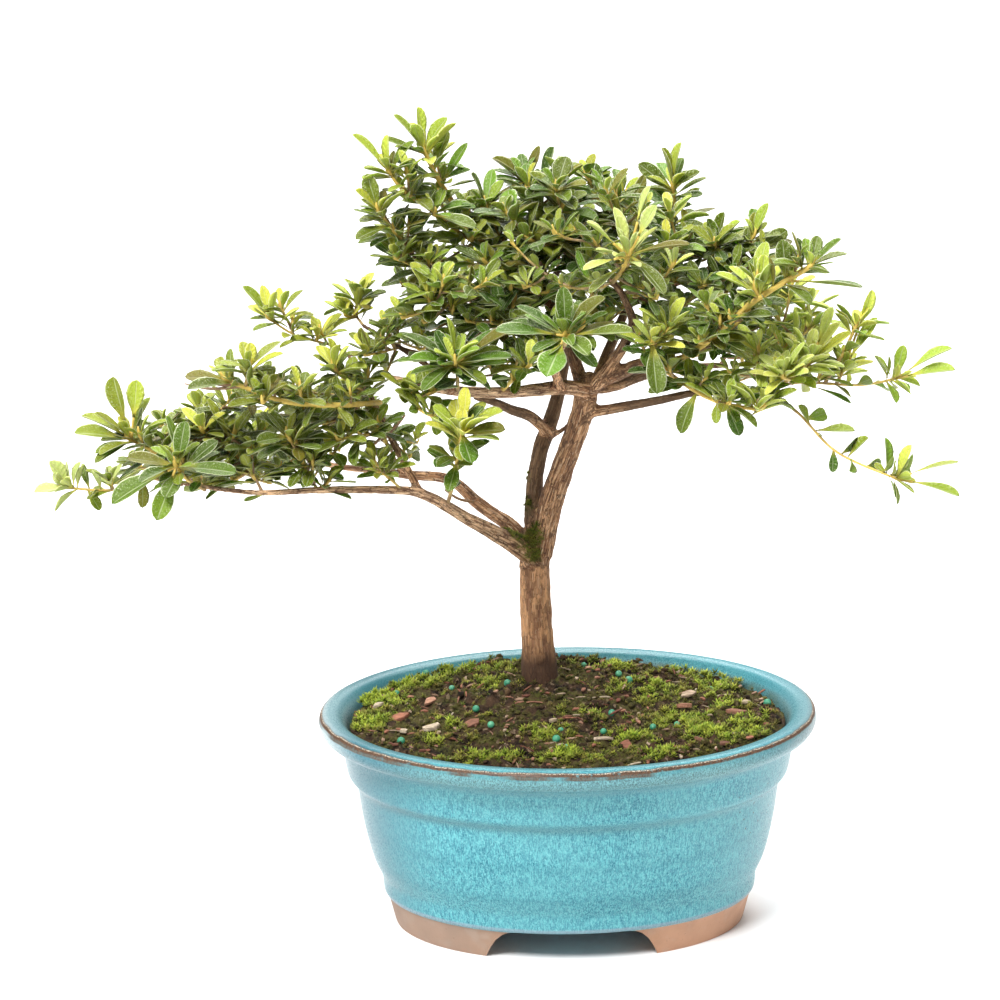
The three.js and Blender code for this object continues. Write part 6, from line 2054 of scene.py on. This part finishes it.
def build_spray(index, spray, fill_shoots):
    batch = Batch(spray)
    name = spray["name"]
    lone_draw = seeded(100 + index)
    whorl_draw = seeded(500 + index)
    chance = random.Random(900 + index)
    golden = 1.0 if "golden" in name else 0.75
    if "dark" in name or "fill" in name:
        golden = 0.45
    radius = spray["radius"] * (GOLDEN_STEM_FULLNESS if golden == 1 else STEM_FULLNESS)
    stems = [placed(stem) for stem in spray["stems"]]
    twigs = []
    for stem in stems:
        radii = [radius * (1 - STEM_TAPER * i / (len(stem) - 1)) for i in range(len(stem))]
        add_stem(batch, stem, radii, (golden * 1.3 - 0.7, golden), STEM_SIDES)
    whorls = spray["whorls"] + spray["more_whorls"]
    rosettes = [add_whorl(batch, whorl, stems, twigs, golden) for whorl in whorls]
    for leaf in spray["leaves"]:
        lone_leaf(batch, chance, lone_draw, stems + twigs, leaf)
    for rosette, whorl in zip(rosettes, whorls):
        count = whorl[3]
        start = whorl_draw() * FULL_TURN
        skirt_leaves(batch, chance, whorl_draw, rosette, start, count)
        upright_leaves(batch, chance, rosette, start + 0.5, count + 3 + spray["extra_leaves"])
        rosette_heart(batch, rosette)
    shoots = list(fill_shoots)
    for stem in stems:
        stem_leaves(batch, chance, stem, 0.35)
        if spray["side_shoots"]:
            shoots += side_shoots(chance, stem, spray["fullness"])
    for twig in twigs:
        stem_leaves(batch, chance, twig, 0.25)
    for shoot in shoots:
        add_shoot(batch, chance, shoot)
    settle(batch.build(f"foliage_{name}", [LEAF, YOUNG_STEM]), "foliage", f"spray_{name}")


def build_bare_twigs():
    batch = Batch()
    routes = [placed(limb) for limb in LIMBS]
    routes += [placed(stem) for spray in SPRAYS for stem in spray["stems"]]
    for tip in placed(BARE_TIPS):
        add_stem(batch, twig_route(nearest_of(routes, tip), tip), [0.8, 0.6, 0.35], (0.0, 0.2))
    settle(batch.build("bare_twigs", [LEAF, YOUNG_STEM]), "foliage")


# Camera, floor and light
def build_camera():
    data = bpy.data.cameras.new("view")
    data.lens = LENS
    data.sensor_width = SENSOR
    data.clip_end = 50
    camera = add_object("view", data)
    turn = Matrix((SHEET_RIGHT, SHEET_UP, TOWARD_VIEWER)).transposed().to_4x4()
    camera.matrix_world = Matrix.Translation(EYE * MM + Vector(POT_CENTRE)) @ turn
    bpy.context.scene.camera = camera


def build_floor():
    mesh = bpy.data.meshes.new("floor")
    corners = [(x * FLOOR_REACH, y * FLOOR_REACH, 0) for x, y in ((-1, -1), (1, -1), (1, 1), (-1, 1))]
    mesh.from_pydata(corners, [], [(0, 1, 2, 3)])
    mesh.materials.append(Nodes("pale_floor").shade(
        Base_Color=(0.8, 0.8, 0.8), Roughness=0.8, Specular_IOR_Level=0.1,
    ))
    add_object("floor", mesh)


def area_light(name, at, toward, size, power):
    data = bpy.data.lights.new(name, "AREA")
    data.shape = "RECTANGLE"
    data.size, data.size_y = size
    data.energy = power
    light = add_object(name, data)
    light.location = at
    light.rotation_mode = "QUATERNION"
    light.rotation_quaternion = (Vector(toward) - Vector(at)).to_track_quat("-Z", "Y")


def build_light():
    middle = (0, 0, 0.17)
    area_light("key", (-0.8, -1.65, 2.5), middle, (0.9, 0.9), 136)
    area_light("top", (0.3, 0.8, 2.4), middle, (1.6, 1.2), 84)
    area_light("left", (-2.2, -0.3, 1.0), middle, (0.7, 1.6), 14)
    area_light("right", (2.2, -0.5, 1.0), middle, (0.7, 1.6), 6)
    area_light("behind", (0, 4.5, 3.5), (0, 4.6, 0), (3, 2), 160)
    world = bpy.data.worlds.new("studio")
    world.use_nodes = True
    background = world.node_tree.nodes["Background"]
    background.inputs["Color"].default_value = (1, 1, 1, 1)
    background.inputs["Strength"].default_value = 0.36
    bpy.context.scene.world = world
    bpy.context.scene.view_settings.view_transform = "Standard"


build_camera()
build_floor()
build_light()
build_pot()
build_soil()
build_grit()
build_chips()
build_beads()
build_moss()
build_screens()
build_wood_moss(*build_wood())
for spray_index, (each_spray, its_shoots) in enumerate(zip(SPRAYS, plan_fill())):
    build_spray(spray_index, each_spray, its_shoots)
build_bare_twigs()
